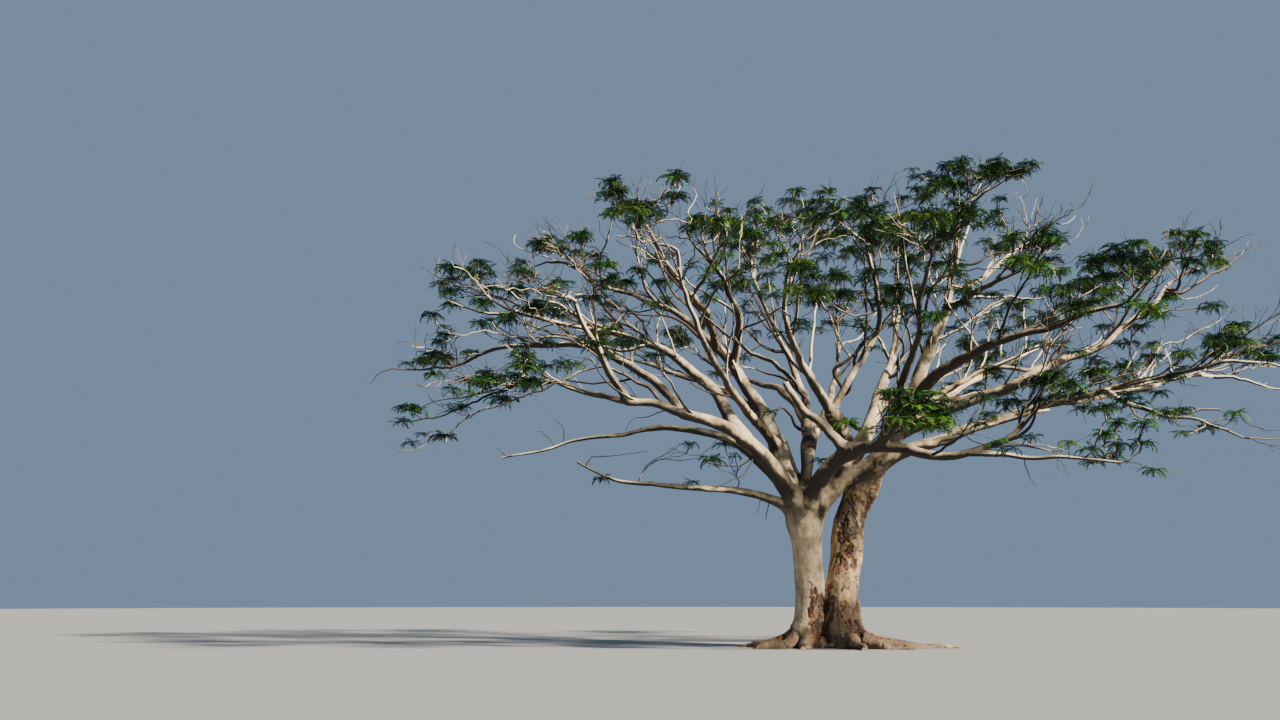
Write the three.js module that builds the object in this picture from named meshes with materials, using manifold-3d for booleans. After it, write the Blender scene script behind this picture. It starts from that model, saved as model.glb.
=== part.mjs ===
// A broad flame tree: two stems that meet at the foot, long bent limbs, and a wide open crown.
// Millimetres, +Z up, with the origin at ground level under the rough right-hand stem.
import * as THREE from 'three'
import { mergeVertices } from 'three/addons/utils/BufferGeometryUtils.js'
import Module from 'manifold-3d'

const wasm = await Module()
wasm.setup()

// Space kept between two neighbouring solids, and the size of detail that joining leaves out
const GAP = 0.3
const NEAT = 2

// Size of the block that the flat cut at ground level takes away
const GROUND_DEPTH = 900
const GROUND_WIDTH = 12000

// Stems: centre line with a radius at each of its points, then surface roots as heading in degrees,
// reach, radius and height where the root leaves the stem
const STEMS = {
  stem_right: {
    color: '#8a6a50',
    line: [
      [30, -20, -160], [0, 0, 0], [-60, 60, 500], [-100, 110, 1050],
      [-10, 230, 1690], [90, 340, 2470], [390, 450, 3200],
    ],
    radius: [345, 340, 320, 318, 325, 310, 265],
    roots: [
      [4, 2100, 130, 330], [-34, 1500, 140, 380], [-78, 1050, 120, 340],
      [42, 1350, 125, 330], [88, 1200, 120, 300],
    ],
  },
  stem_left: {
    color: '#a89884',
    line: [
      [-700, 60, -160], [-710, 50, 0], [-718, 30, 500], [-720, 10, 1050],
      [-760, -20, 1680], [-770, -60, 2110], [-800, -100, 2580],
    ],
    radius: [300, 298, 290, 288, 282, 305, 375],
    roots: [
      [184, 1450, 165, 360], [222, 1250, 140, 360], [262, 1000, 120, 300],
      [146, 1300, 135, 330], [108, 1050, 115, 280],
    ],
  },
}
const STEM_SIDES = 13
const STEM_RINGS = 10
const FLARE = 0.42
const FLARE_HEIGHT = 230
const ROOT_SIDES = 5
const ROOT_RINGS = 5

// Limbs: parent, share along it, tip, rise of the two inner control points, sideways sway, and the
// radius at foot and tip. A limb that carries foliage names its centre and half sizes
const LIMBS = {
  up_back: {
    from: 'stem_left', at: 0.92, tip: [1300, 3300, 7950], lift: [200, -800], sway: 850,
    radius: [250, 50], mass: [[1400, 3700, 8850], [1450, 1500, 850]],
  },
  left_high: {
    from: 'stem_left', at: 0.97, tip: [-5150, 700, 7600], lift: [1900, 1550], sway: 1950,
    radius: [240, 50], mass: [[-5950, 900, 8350], [1450, 1450, 850]],
  },
  left_broad: {
    from: 'stem_left', at: 0.97, tip: [-5550, -1700, 5100], lift: [1600, -100], sway: -1450,
    radius: [200, 50], mass: [[-7200, -2200, 4650], [1800, 1400, 650]],
  },
  leader: {
    from: 'stem_right', at: 0.97, tip: [2500, 300, 8650], lift: [-600, -2250], sway: 450,
    radius: [250, 50], mass: [[2950, 500, 9350], [1600, 1550, 750]],
  },
  up_mid: {
    from: 'stem_left', at: 0.97, tip: [-1900, 1900, 8250], lift: [1550, -1800], sway: 750,
    radius: [175, 50], mass: [[-1900, 2300, 9050], [1400, 1500, 800]],
  },
  left_dead: {
    from: 'stem_left', at: 0.97, tip: [-7200, 900, 3900], lift: [2750, 850], sway: 1900,
    radius: [170, 30],
  },
  right_long: {
    from: 'up_back', at: 0.12, tip: [6900, -500, 5250], lift: [600, 250], sway: -100,
    radius: [170, 50], mass: [[7700, -400, 5550], [1600, 1450, 700]],
  },
  low_front: {
    from: 'stem_left', at: 0.97, tip: [3550, -2600, 4300], lift: [2100, -1550], sway: 900,
    radius: [200, 50], mass: [[4000, -2900, 4600], [1400, 1350, 700]],
  },
  up_centre: {
    from: 'up_back', at: 0.27, tip: [-950, -3200, 6550], lift: [650, -500], sway: 450,
    radius: [140, 50], mass: [[-650, -3700, 7100], [1500, 1450, 800]],
  },
  left_mid: {
    from: 'left_broad', at: 0.29, tip: [-6700, -100, 6850], lift: [1500, 550], sway: 1150,
    radius: [140, 50], mass: [[-7650, -200, 7350], [1450, 1600, 850]],
  },
  right_high: {
    from: 'leader', at: 0.44, tip: [4850, -2700, 6000], lift: [850, 50], sway: 500,
    radius: [140, 50], mass: [[5250, -3100, 6400], [1500, 1450, 800]],
  },
  right_mid: {
    from: 'leader', at: 0.34, tip: [6600, 700, 7150], lift: [50, -950], sway: 600,
    radius: [150, 50], mass: [[7350, 900, 7600], [1450, 1500, 850]],
  },
  left_low: {
    from: 'stem_left', at: 0.95, tip: [-5200, -800, 3550], lift: [750, -650], sway: -600,
    radius: [110, 35],
  },
  left_long: {
    from: 'left_broad', at: 0.51, tip: [-8400, 2000, 6200], lift: [1050, 1150], sway: 650,
    radius: [100, 50], mass: [[-9200, 2200, 6200], [1300, 1450, 800]],
  },
  left_fan: {
    from: 'left_broad', at: 0.73, tip: [-4750, -3400, 6250], lift: [0, -50], sway: 100,
    radius: [80, 50], mass: [[-5350, -3900, 6250], [1500, 1450, 800]],
  },
  left_top: {
    from: 'left_high', at: 0.49, tip: [-3500, -3000, 7700], lift: [750, -500], sway: -100,
    radius: [100, 50], mass: [[-3650, -3200, 8100], [1400, 1450, 700]],
  },
  up_left: {
    from: 'left_high', at: 0.41, tip: [-2700, 200, 8000], lift: [200, -150], sway: -500,
    radius: [100, 50], mass: [[-2900, 400, 8650], [1300, 1450, 800]],
  },
  up_fork: {
    from: 'up_centre', at: 0.19, tip: [600, -900, 7600], lift: [900, -400], sway: -900,
    radius: [85, 50], mass: [[400, -700, 8300], [1400, 1450, 800]],
  },
  right_bright: {
    from: 'leader', at: 0.39, tip: [4750, 4000, 6700], lift: [0, 200], sway: 0,
    radius: [110, 50], mass: [[5400, 4400, 7400], [1450, 1450, 800]],
  },
  right_back: {
    from: 'right_long', at: 0.63, tip: [8000, 3200, 5600], lift: [-200, 350], sway: 0,
    radius: [90, 50], mass: [[8800, 3600, 5800], [1300, 1400, 700]],
  },
  upper_right: {
    from: 'leader', at: 0.81, tip: [3000, -2200, 6700], lift: [-250, 50], sway: -50,
    radius: [80, 50], mass: [[3500, -2500, 6900], [1400, 1350, 750]],
  },
  top_right: {
    from: 'leader', at: 0.86, tip: [3800, 1900, 8300], lift: [-500, 150], sway: 100,
    radius: [80, 50], mass: [[4500, 2100, 8900], [1300, 1400, 750]],
  },
  back_left: {
    from: 'up_mid', at: 0.27, tip: [-2950, 5100, 6450], lift: [550, 0], sway: 250,
    radius: [110, 50], mass: [[-3750, 5600, 7150], [1500, 1450, 800]],
  },
  back_far: {
    from: 'left_high', at: 0.24, tip: [-5150, 4100, 6650], lift: [350, 0], sway: 100,
    radius: [100, 50], mass: [[-6050, 4500, 7150], [1450, 1450, 800]],
  },
  back_mid: {
    from: 'up_mid', at: 0.19, tip: [0, 5000, 7150], lift: [-100, -50], sway: 250,
    radius: [110, 50], mass: [[50, 5500, 8000], [1450, 1450, 800]],
  },
  back_right: {
    from: 'up_back', at: 0.42, tip: [2750, 5600, 5950], lift: [550, -150], sway: -100,
    radius: [100, 50], mass: [[3550, 6100, 6500], [1400, 1450, 750]],
  },
  front_left: {
    from: 'left_high', at: 0.15, tip: [-2550, -4900, 6100], lift: [-100, -200], sway: 250,
    radius: [110, 50], mass: [[-2600, -5600, 6500], [1500, 1450, 750]],
  },
  front_right: {
    from: 'low_front', at: 0.41, tip: [1500, -4600, 6350], lift: [-100, 0], sway: -100,
    radius: [100, 50], mass: [[1550, -5300, 6650], [1450, 1450, 750]],
  },
  low_pale: {
    from: 'low_front', at: 0.73, tip: [4600, -3400, 3200], lift: [-200, 100], sway: -50,
    radius: [55, 28],
  },
  right_dead: {
    from: 'right_long', at: 0.73, tip: [6400, -3000, 3700], lift: [-200, 0], sway: 50,
    radius: [55, 25],
  },
  front_low: {
    from: 'low_front', at: 0.37, tip: [1000, -2600, 4000], lift: [0, -100], sway: -50,
    radius: [70, 50], mass: [[1400, -2900, 4150], [1000, 900, 550]],
  },
}
const LIMB_COLOR = '#b7a690'
const THICK_LIMB = 125
const LIMB_TAPER = 1.35
const COLLAR = 0.22
const WAVE_STEP = 1100
const WAVE_REACH = 45

// Foliage: twigs fan out from a short stem, and each carries leaf sprays near its end
const LEAF_COLOR = '#4c6b25'
const TWIG_SPACING = 1080
const STEM_END = 42
const TWIG_RADIUS = [32, 21]
const ROOT_SUNK = 0.4
const LEAF_LENGTH = 1000
const LEAF_WIDTH = 0.46
const LEAF_THICK = 0.034
const LEAF_TRIES = [1, 0.84, 0.7]
const LEAF_DROOP = 0.2
const SPACE_GAP = 12
const LEAF_CLEAR = 8
const TURN = 2.39996

const UP = new THREE.Vector3(0, 0, 1)
const vector = (list) => new THREE.Vector3(...list)

// A repeatable stream of numbers between 0 and 1
function dice(seed) {
  let state = seed >>> 0
  return () => {
    state = (state + 0x6d2b79f5) >>> 0
    let mixed = state
    mixed = Math.imul(mixed ^ (mixed >>> 15), mixed | 1)
    mixed ^= mixed + Math.imul(mixed ^ (mixed >>> 7), mixed | 61)
    return ((mixed ^ (mixed >>> 14)) >>> 0) / 4294967296
  }
}

// Turn a closed geometry into a solid that can be joined and cut
function solid(geometry) {
  geometry.deleteAttribute('normal')
  geometry.deleteAttribute('uv')
  const merged = mergeVertices(geometry, 0.01)
  return new wasm.Manifold(new wasm.Mesh({
    numProp: 3,
    vertProperties: new Float32Array(merged.attributes.position.array),
    triVerts: new Uint32Array(merged.index.array),
  }))
}

// A cylinder bent along a curve, with its radius given by the share along the curve and the angle,
// grown by an extra size on every side
function sweep(curve, radiusAt, sides, rings, extra = 0) {
  const frames = curve.computeFrenetFrames(rings, false)
  const shape = new THREE.CylinderGeometry(1, 1, 1, sides, rings)
  const spots = shape.attributes.position
  for (let i = 0; i < spots.count; i++) {
    const ring = Math.round((spots.getY(i) + 0.5) * rings)
    const angle = Math.atan2(spots.getZ(i), spots.getX(i))
    const reach = Math.hypot(spots.getX(i), spots.getZ(i)) * (radiusAt(ring / rings, angle) + extra)
    const beyond = ring === 0 ? -extra : ring === rings ? extra : 0
    const point = curve.getPointAt(ring / rings).addScaledVector(frames.tangents[ring], beyond)
    point.addScaledVector(frames.normals[ring], reach * Math.cos(angle))
    point.addScaledVector(frames.binormals[ring], -reach * Math.sin(angle))
    spots.setXYZ(i, point.x, point.y, point.z)
  }
  return solid(shape)
}

// Value at a share of a list of evenly spaced values
function along(values, share) {
  const place = share * (values.length - 1)
  const low = Math.min(Math.floor(place), values.length - 2)
  return values[low] + (values[low + 1] - values[low]) * (place - low)
}

// One root that leaves the stem's flank, dives to the ground and runs out along it
function surfaceRoot(foot, row, extra) {
  const [heading, reach, radius, height] = row
  const out = vector([Math.cos(heading * Math.PI / 180), Math.sin(heading * Math.PI / 180), 0])
  const side = new THREE.Vector3().crossVectors(UP, out)
  const bend = 0.07 * reach * Math.sin(heading)
  const path = new THREE.CatmullRomCurve3([
    foot.clone().addScaledVector(out, 60).setZ(height),
    foot.clone().addScaledVector(out, 360).setZ(height * 0.42),
    foot.clone().addScaledVector(out, 0.55 * reach + 100).addScaledVector(side, bend).setZ(12),
    foot.clone().addScaledVector(out, 0.8 * reach + 100).addScaledVector(side, -bend).setZ(-10),
    foot.clone().addScaledVector(out, reach + 250).addScaledVector(side, bend).setZ(-75),
  ])
  return sweep(path, (share) => radius * (1.1 - 0.72 * share), ROOT_SIDES, ROOT_RINGS, extra)
}

// A stem with its flared foot and surface roots, cut flat at ground level
function makeStem(name, extra = 0) {
  const row = STEMS[name]
  const curve = new THREE.CatmullRomCurve3(row.line.map(vector))
  const radiusAt = (share, angle) => {
    const height = Math.max(curve.getPointAt(share).z, 0)
    const flutes = 1 + 0.05 * Math.cos(3 * angle + 1) + 0.03 * Math.cos(5 * angle)
    const flare = 1 + FLARE * Math.exp(-height / FLARE_HEIGHT) * (1 + 0.25 * Math.cos(4 * angle + 2))
    return along(row.radius, share) * flutes * flare
  }
  let stem = sweep(curve, radiusAt, STEM_SIDES, STEM_RINGS, extra)
  for (const root of row.roots) {
    stem = stem.add(surfaceRoot(vector(row.line[1]), root, extra))
  }
  const soil = new THREE.BoxGeometry(GROUND_WIDTH, GROUND_WIDTH, GROUND_DEPTH)
  soil.translate(0, 0, -GROUND_DEPTH / 2)
  return stem.subtract(solid(soil))
}

// The centre line of a limb: a bent sweep from its parent, with a light seeded wave
const curves = {}
function limbCurve(name, order) {
  const row = LIMBS[name]
  const foot = curves[row.from].getPoint(row.at)
  const tip = vector(row.tip)
  const run = tip.clone().sub(foot)
  const side = new THREE.Vector3(run.y, -run.x, 0).normalize()
  const [near, far] = row.lift.map((lift, k) => {
    const point = foot.clone().addScaledVector(run, (k + 1) / 3)
    return point.addScaledVector(UP, lift).addScaledVector(side, row.sway)
  })
  const smooth = new THREE.CubicBezierCurve3(foot, near, far, tip)
  const random = dice(40 + order)
  const steps = Math.max(5, Math.round(run.length() / WAVE_STEP) + 3)
  const points = []
  for (let i = 0; i <= steps; i++) {
    const share = i / steps
    const wave = WAVE_REACH * Math.sin(Math.PI * share)
    const point = smooth.getPoint(share)
    point.addScaledVector(side, wave * (2 * random() - 1))
    point.addScaledVector(UP, wave * (2 * random() - 1))
    points.push(point)
  }
  return new THREE.CatmullRomCurve3(points)
}

// One tapering limb with a thickened collar at its foot
function makeLimb(name, extra = 0) {
  const row = LIMBS[name]
  const [foot, tip] = row.radius
  const sides = foot >= THICK_LIMB ? 7 : 5
  const rings = Math.round(4 + curves[name].getLength() / 1100)
  const radiusAt = (share) => {
    const collar = 1 + COLLAR * Math.max(0, 1 - share / 0.12) ** 2
    return (tip + (foot - tip) * (1 - share) ** LIMB_TAPER) * collar
  }
  return sweep(curves[name], radiusAt, sides, rings, extra)
}

// The largest of the bodies that a cut leaves
function largest(shape) {
  const bodies = shape.decompose()
  bodies.sort((a, b) => b.volume() - a.volume())
  return bodies[0]
}

// Whether the boxes round two solids overlap
function boxesMeet(a, b) {
  const first = a.boundingBox()
  const second = b.boundingBox()
  return [0, 1, 2].every((k) => first.min[k] < second.max[k] && second.min[k] < first.max[k])
}

// Cut a new solid clear of every earlier one that it meets
function cutClear(shape, grown) {
  for (const earlier of grown) {
    if (boxesMeet(shape, earlier)) {
      shape = shape.subtract(earlier)
    }
  }
  return largest(shape.asOriginal().simplify(GAP / 3))
}

const group = new THREE.Group()

// Hang a solid in the scene as a named mesh, placed at its own foot
function hang(name, shape, place, color) {
  const mesh = shape.getMesh()
  const geometry = new THREE.BufferGeometry()
  geometry.setAttribute('position', new THREE.BufferAttribute(new Float32Array(mesh.vertProperties), 3))
  geometry.setIndex(new THREE.BufferAttribute(new Uint32Array(mesh.triVerts), 1))
  geometry.translate(-place.x, -place.y, -place.z)
  const material = new THREE.MeshStandardMaterial({ color, roughness: 0.85, metalness: 0 })
  const part = new THREE.Mesh(geometry, material)
  part.name = name
  part.position.copy(place)
  group.add(part)
}

// Stems first, then the main limbs, then what grows from them
const grownWood = []
const farWood = []
for (const [name, row] of Object.entries(STEMS)) {
  curves[name] = new THREE.CatmullRomCurve3(row.line.slice(1).map(vector))
  const stem = cutClear(makeStem(name), grownWood)
  hang(name, stem, vector(row.line[1]), row.color)
  grownWood.push(makeStem(name, GAP))
  farWood.push(makeStem(name, LEAF_CLEAR))
}
Object.keys(LIMBS).forEach((name, order) => {
  curves[name] = limbCurve(name, order)
  const limb = cutClear(makeLimb(name), grownWood)
  hang(name, limb, curves[name].getPoint(0), LIMB_COLOR)
  grownWood.push(makeLimb(name, GAP))
  farWood.push(makeLimb(name, LEAF_CLEAR))
})

// Each mass with the axes of its space, which lie along and across the end of its limb
const masses = Object.keys(LIMBS).filter((name) => LIMBS[name].mass).map((name) => {
  const [centre, half] = LIMBS[name].mass
  const end = curves[name].getTangent(1)
  const ahead = new THREE.Vector3(end.x, end.y, 0).normalize()
  const side = new THREE.Vector3().crossVectors(UP, ahead)
  return { name, centre: vector(centre), half, end, ahead, side, tip: curves[name].getPoint(1) }
})

// Half size of a mass along a direction
function halfAlong(mass, direction) {
  const spread = [mass.ahead, mass.side, UP].map((axis, k) => axis.dot(direction) * mass.half[k])
  return Math.hypot(...spread)
}

// Whether a point is in the mass's space: its ellipsoid, cut by a plane between it and each neighbour
function withinSpace(mass, point) {
  const offset = point.clone().sub(mass.centre)
  const shares = [mass.ahead, mass.side, UP].map((axis, k) => axis.dot(offset) / mass.half[k])
  if (Math.hypot(...shares) > 1) {
    return false
  }
  return masses.every((other) => {
    if (other === mass) {
      return true
    }
    const across = other.centre.clone().sub(mass.centre)
    const distance = across.length()
    across.normalize()
    const share = halfAlong(mass, across) / (halfAlong(mass, across) + halfAlong(other, across))
    return offset.dot(across) < distance * share - SPACE_GAP
  })
}

// Short stem of a mass, from its limb's tip towards the middle of its space
for (const mass of masses) {
  const start = mass.tip.clone().addScaledVector(mass.end, GAP)
  const hub = mass.tip.clone().lerp(mass.centre, 0.62)
  const bend = start.clone().addScaledVector(mass.end, 0.4 * hub.distanceTo(start))
  mass.path = new THREE.QuadraticBezierCurve3(start, bend, hub)
  const [, limbTip] = LIMBS[mass.name].radius
  mass.stemRadius = [limbTip * 0.94, STEM_END]
  mass.stem = sweep(mass.path, (share) => along(mass.stemRadius, share), 5, 3)
}

// One leaf spray: a flat eight-faced blade whose root lies behind the twig's axis
function leaf(root, direction, length, roll) {
  const side = new THREE.Vector3().crossVectors(UP, direction).normalize()
  side.applyAxisAngle(direction, roll)
  const top = new THREE.Vector3().crossVectors(direction, side)
  const blade = new THREE.OctahedronGeometry(1)
  const spots = blade.attributes.position
  for (let i = 0; i < spots.count; i++) {
    const share = spots.getX(i) === 0 ? 0.42 : (spots.getX(i) + 1) / 2
    const point = root.clone().addScaledVector(direction, length * share)
    point.addScaledVector(side, spots.getY(i) * length * LEAF_WIDTH / 2)
    point.addScaledVector(top, spots.getZ(i) * length * LEAF_THICK / 2)
    point.addScaledVector(UP, -LEAF_DROOP * length * share * share)
    spots.setXYZ(i, point.x, point.y, point.z)
  }
  const corners = [0.42, 1].map((share) => root.clone().addScaledVector(direction, length * share)
    .addScaledVector(UP, -LEAF_DROOP * length * share * share))
  corners.push(corners[0].clone().addScaledVector(side, length * LEAF_WIDTH / 2))
  corners.push(corners[0].clone().addScaledVector(side, -length * LEAF_WIDTH / 2))
  return { shape: solid(blade), corners }
}

// All the wood, grown by the space that leaves keep from it
const allWood = farWood.reduce((all, one) => all.add(one))

// Twigs and leaves of one mass, skipping any that leaves its space or touches a limb
function makeMass(mass, order) {
  const random = dice(500 + order)
  const leafRandom = dice(900 + order)
  const near = masses.filter((other) => other !== mass && other.centre.distanceTo(mass.centre) < 4200)
  const free = (shape) => shape.intersect(allWood).isEmpty()
    && near.every((other) => !boxesMeet(shape, other.stem) || shape.intersect(other.stem).isEmpty())
  const area = mass.half[0] * mass.half[1] * Math.PI
  const count = Math.max(4, Math.round(area / TWIG_SPACING ** 2))
  const pieces = [mass.stem]
  const blades = []
  for (let i = 0; i < count; i++) {
    const around = i * TURN + 0.5 * (random() - 0.5) + order
    const out = 0.72 * Math.sqrt((i + 0.6) / count)
    const goal = mass.centre.clone()
    goal.addScaledVector(mass.ahead, out * mass.half[0] * Math.cos(around))
    goal.addScaledVector(mass.side, out * mass.half[1] * Math.sin(around))
    goal.addScaledVector(UP, mass.half[2] * (0.62 * Math.sqrt(1 - out * out) - 0.45 + 0.35 * random()))
    const foot = mass.path.getPoint(0.45 + 0.5 * random())
    const bend = foot.clone().lerp(goal, 0.5).addScaledVector(UP, 0.12 * foot.distanceTo(goal))
    const path = new THREE.QuadraticBezierCurve3(foot, bend, goal)
    const twig = sweep(path, (share) => along(TWIG_RADIUS, share), 3, 2)
    if (!withinSpace(mass, goal) || !free(twig)) {
      continue
    }
    pieces.push(twig)
    const spots = [[1, 0], [0.66, 1.05], [0.5, -1.1]]
    for (const [share, turn] of spots) {
      const direction = path.getTangent(share).setZ(path.getTangent(share).z * 0.4).normalize()
      direction.applyAxisAngle(UP, turn + 0.5 * (leafRandom() - 0.5))
      const inwards = share === 1 ? TWIG_RADIUS[1] : 0
      const root = path.getPoint(share).addScaledVector(path.getTangent(share), -inwards)
      root.addScaledVector(direction, -ROOT_SUNK * along(TWIG_RADIUS, share))
      const length = LEAF_LENGTH * (0.8 + 0.35 * leafRandom())
      const roll = 0.9 * (leafRandom() - 0.5)
      for (const part of LEAF_TRIES) {
        const blade = leaf(root, direction, length * part, roll)
        const crosses = (other) => boxesMeet(other, blade.shape) && !other.intersect(blade.shape).isEmpty()
        const inside = blade.corners.every((corner) => withinSpace(mass, corner))
        if (inside && free(blade.shape) && !blades.some(crosses)) {
          blades.push(blade.shape)
          break
        }
      }
    }
  }
  const joined = [...pieces, ...blades].reduce((all, one) => all.add(one))
  return largest(joined.asOriginal().simplify(NEAT))
}

masses.forEach((mass, order) => {
  hang(`${mass.name}_foliage`, makeMass(mass, order), mass.tip, LEAF_COLOR)
})

export default group
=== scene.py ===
"""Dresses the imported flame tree: wood with bark relief, fine twigs, and feathery leaves in sprays.

Metres, +Z up, with the origin at ground level below the rough right-hand stem, as in the solids.
"""

import math

import bmesh
import bpy
import numpy as np
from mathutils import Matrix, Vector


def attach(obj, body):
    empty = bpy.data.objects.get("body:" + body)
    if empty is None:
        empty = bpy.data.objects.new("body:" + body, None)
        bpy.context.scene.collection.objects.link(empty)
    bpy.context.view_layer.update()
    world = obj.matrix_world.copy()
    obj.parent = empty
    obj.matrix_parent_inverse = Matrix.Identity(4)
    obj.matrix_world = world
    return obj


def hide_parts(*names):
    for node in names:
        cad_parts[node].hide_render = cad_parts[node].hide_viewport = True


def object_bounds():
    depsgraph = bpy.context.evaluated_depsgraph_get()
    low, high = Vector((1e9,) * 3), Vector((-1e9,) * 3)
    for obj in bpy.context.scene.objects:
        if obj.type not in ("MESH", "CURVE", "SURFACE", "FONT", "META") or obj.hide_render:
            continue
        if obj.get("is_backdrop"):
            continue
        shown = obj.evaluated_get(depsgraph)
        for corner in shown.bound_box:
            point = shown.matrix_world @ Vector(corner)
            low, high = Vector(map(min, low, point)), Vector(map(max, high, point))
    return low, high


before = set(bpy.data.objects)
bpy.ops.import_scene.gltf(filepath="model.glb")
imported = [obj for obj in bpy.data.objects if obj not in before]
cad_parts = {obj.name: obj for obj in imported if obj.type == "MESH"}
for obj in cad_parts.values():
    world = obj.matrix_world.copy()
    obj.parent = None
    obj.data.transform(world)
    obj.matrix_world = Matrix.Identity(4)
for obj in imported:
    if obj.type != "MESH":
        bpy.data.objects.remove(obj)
cad_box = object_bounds()

scene = bpy.context.scene
UP = np.array([0.0, 0.0, 1.0])
MASK = 0xFFFFFFFF

# Sizes shared with the solids

# Stems: centre line, a radius at each of its points, then surface roots as heading in degrees,
# reach, radius and height where the root leaves the stem
STEMS = {
    "stem_right": {
        "line": [(0.03, -0.02, -0.16), (0, 0, 0), (-0.06, 0.06, 0.5), (-0.1, 0.11, 1.05),
                 (-0.01, 0.23, 1.69), (0.09, 0.34, 2.47), (0.39, 0.45, 3.2)],
        "radius": [0.345, 0.34, 0.32, 0.318, 0.325, 0.31, 0.265],
        "roots": [(4, 2.1, 0.13, 0.33), (-34, 1.5, 0.14, 0.38), (-78, 1.05, 0.12, 0.34),
                  (42, 1.35, 0.125, 0.33), (88, 1.2, 0.12, 0.3)],
    },
    "stem_left": {
        "line": [(-0.7, 0.06, -0.16), (-0.71, 0.05, 0), (-0.718, 0.03, 0.5), (-0.72, 0.01, 1.05),
                 (-0.76, -0.02, 1.68), (-0.77, -0.06, 2.11), (-0.8, -0.1, 2.58)],
        "radius": [0.3, 0.298, 0.29, 0.288, 0.282, 0.305, 0.375],
        "roots": [(184, 1.45, 0.165, 0.36), (222, 1.25, 0.14, 0.36), (262, 1.0, 0.12, 0.3),
                  (146, 1.3, 0.135, 0.33), (108, 1.05, 0.115, 0.28)],
    },
}

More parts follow.
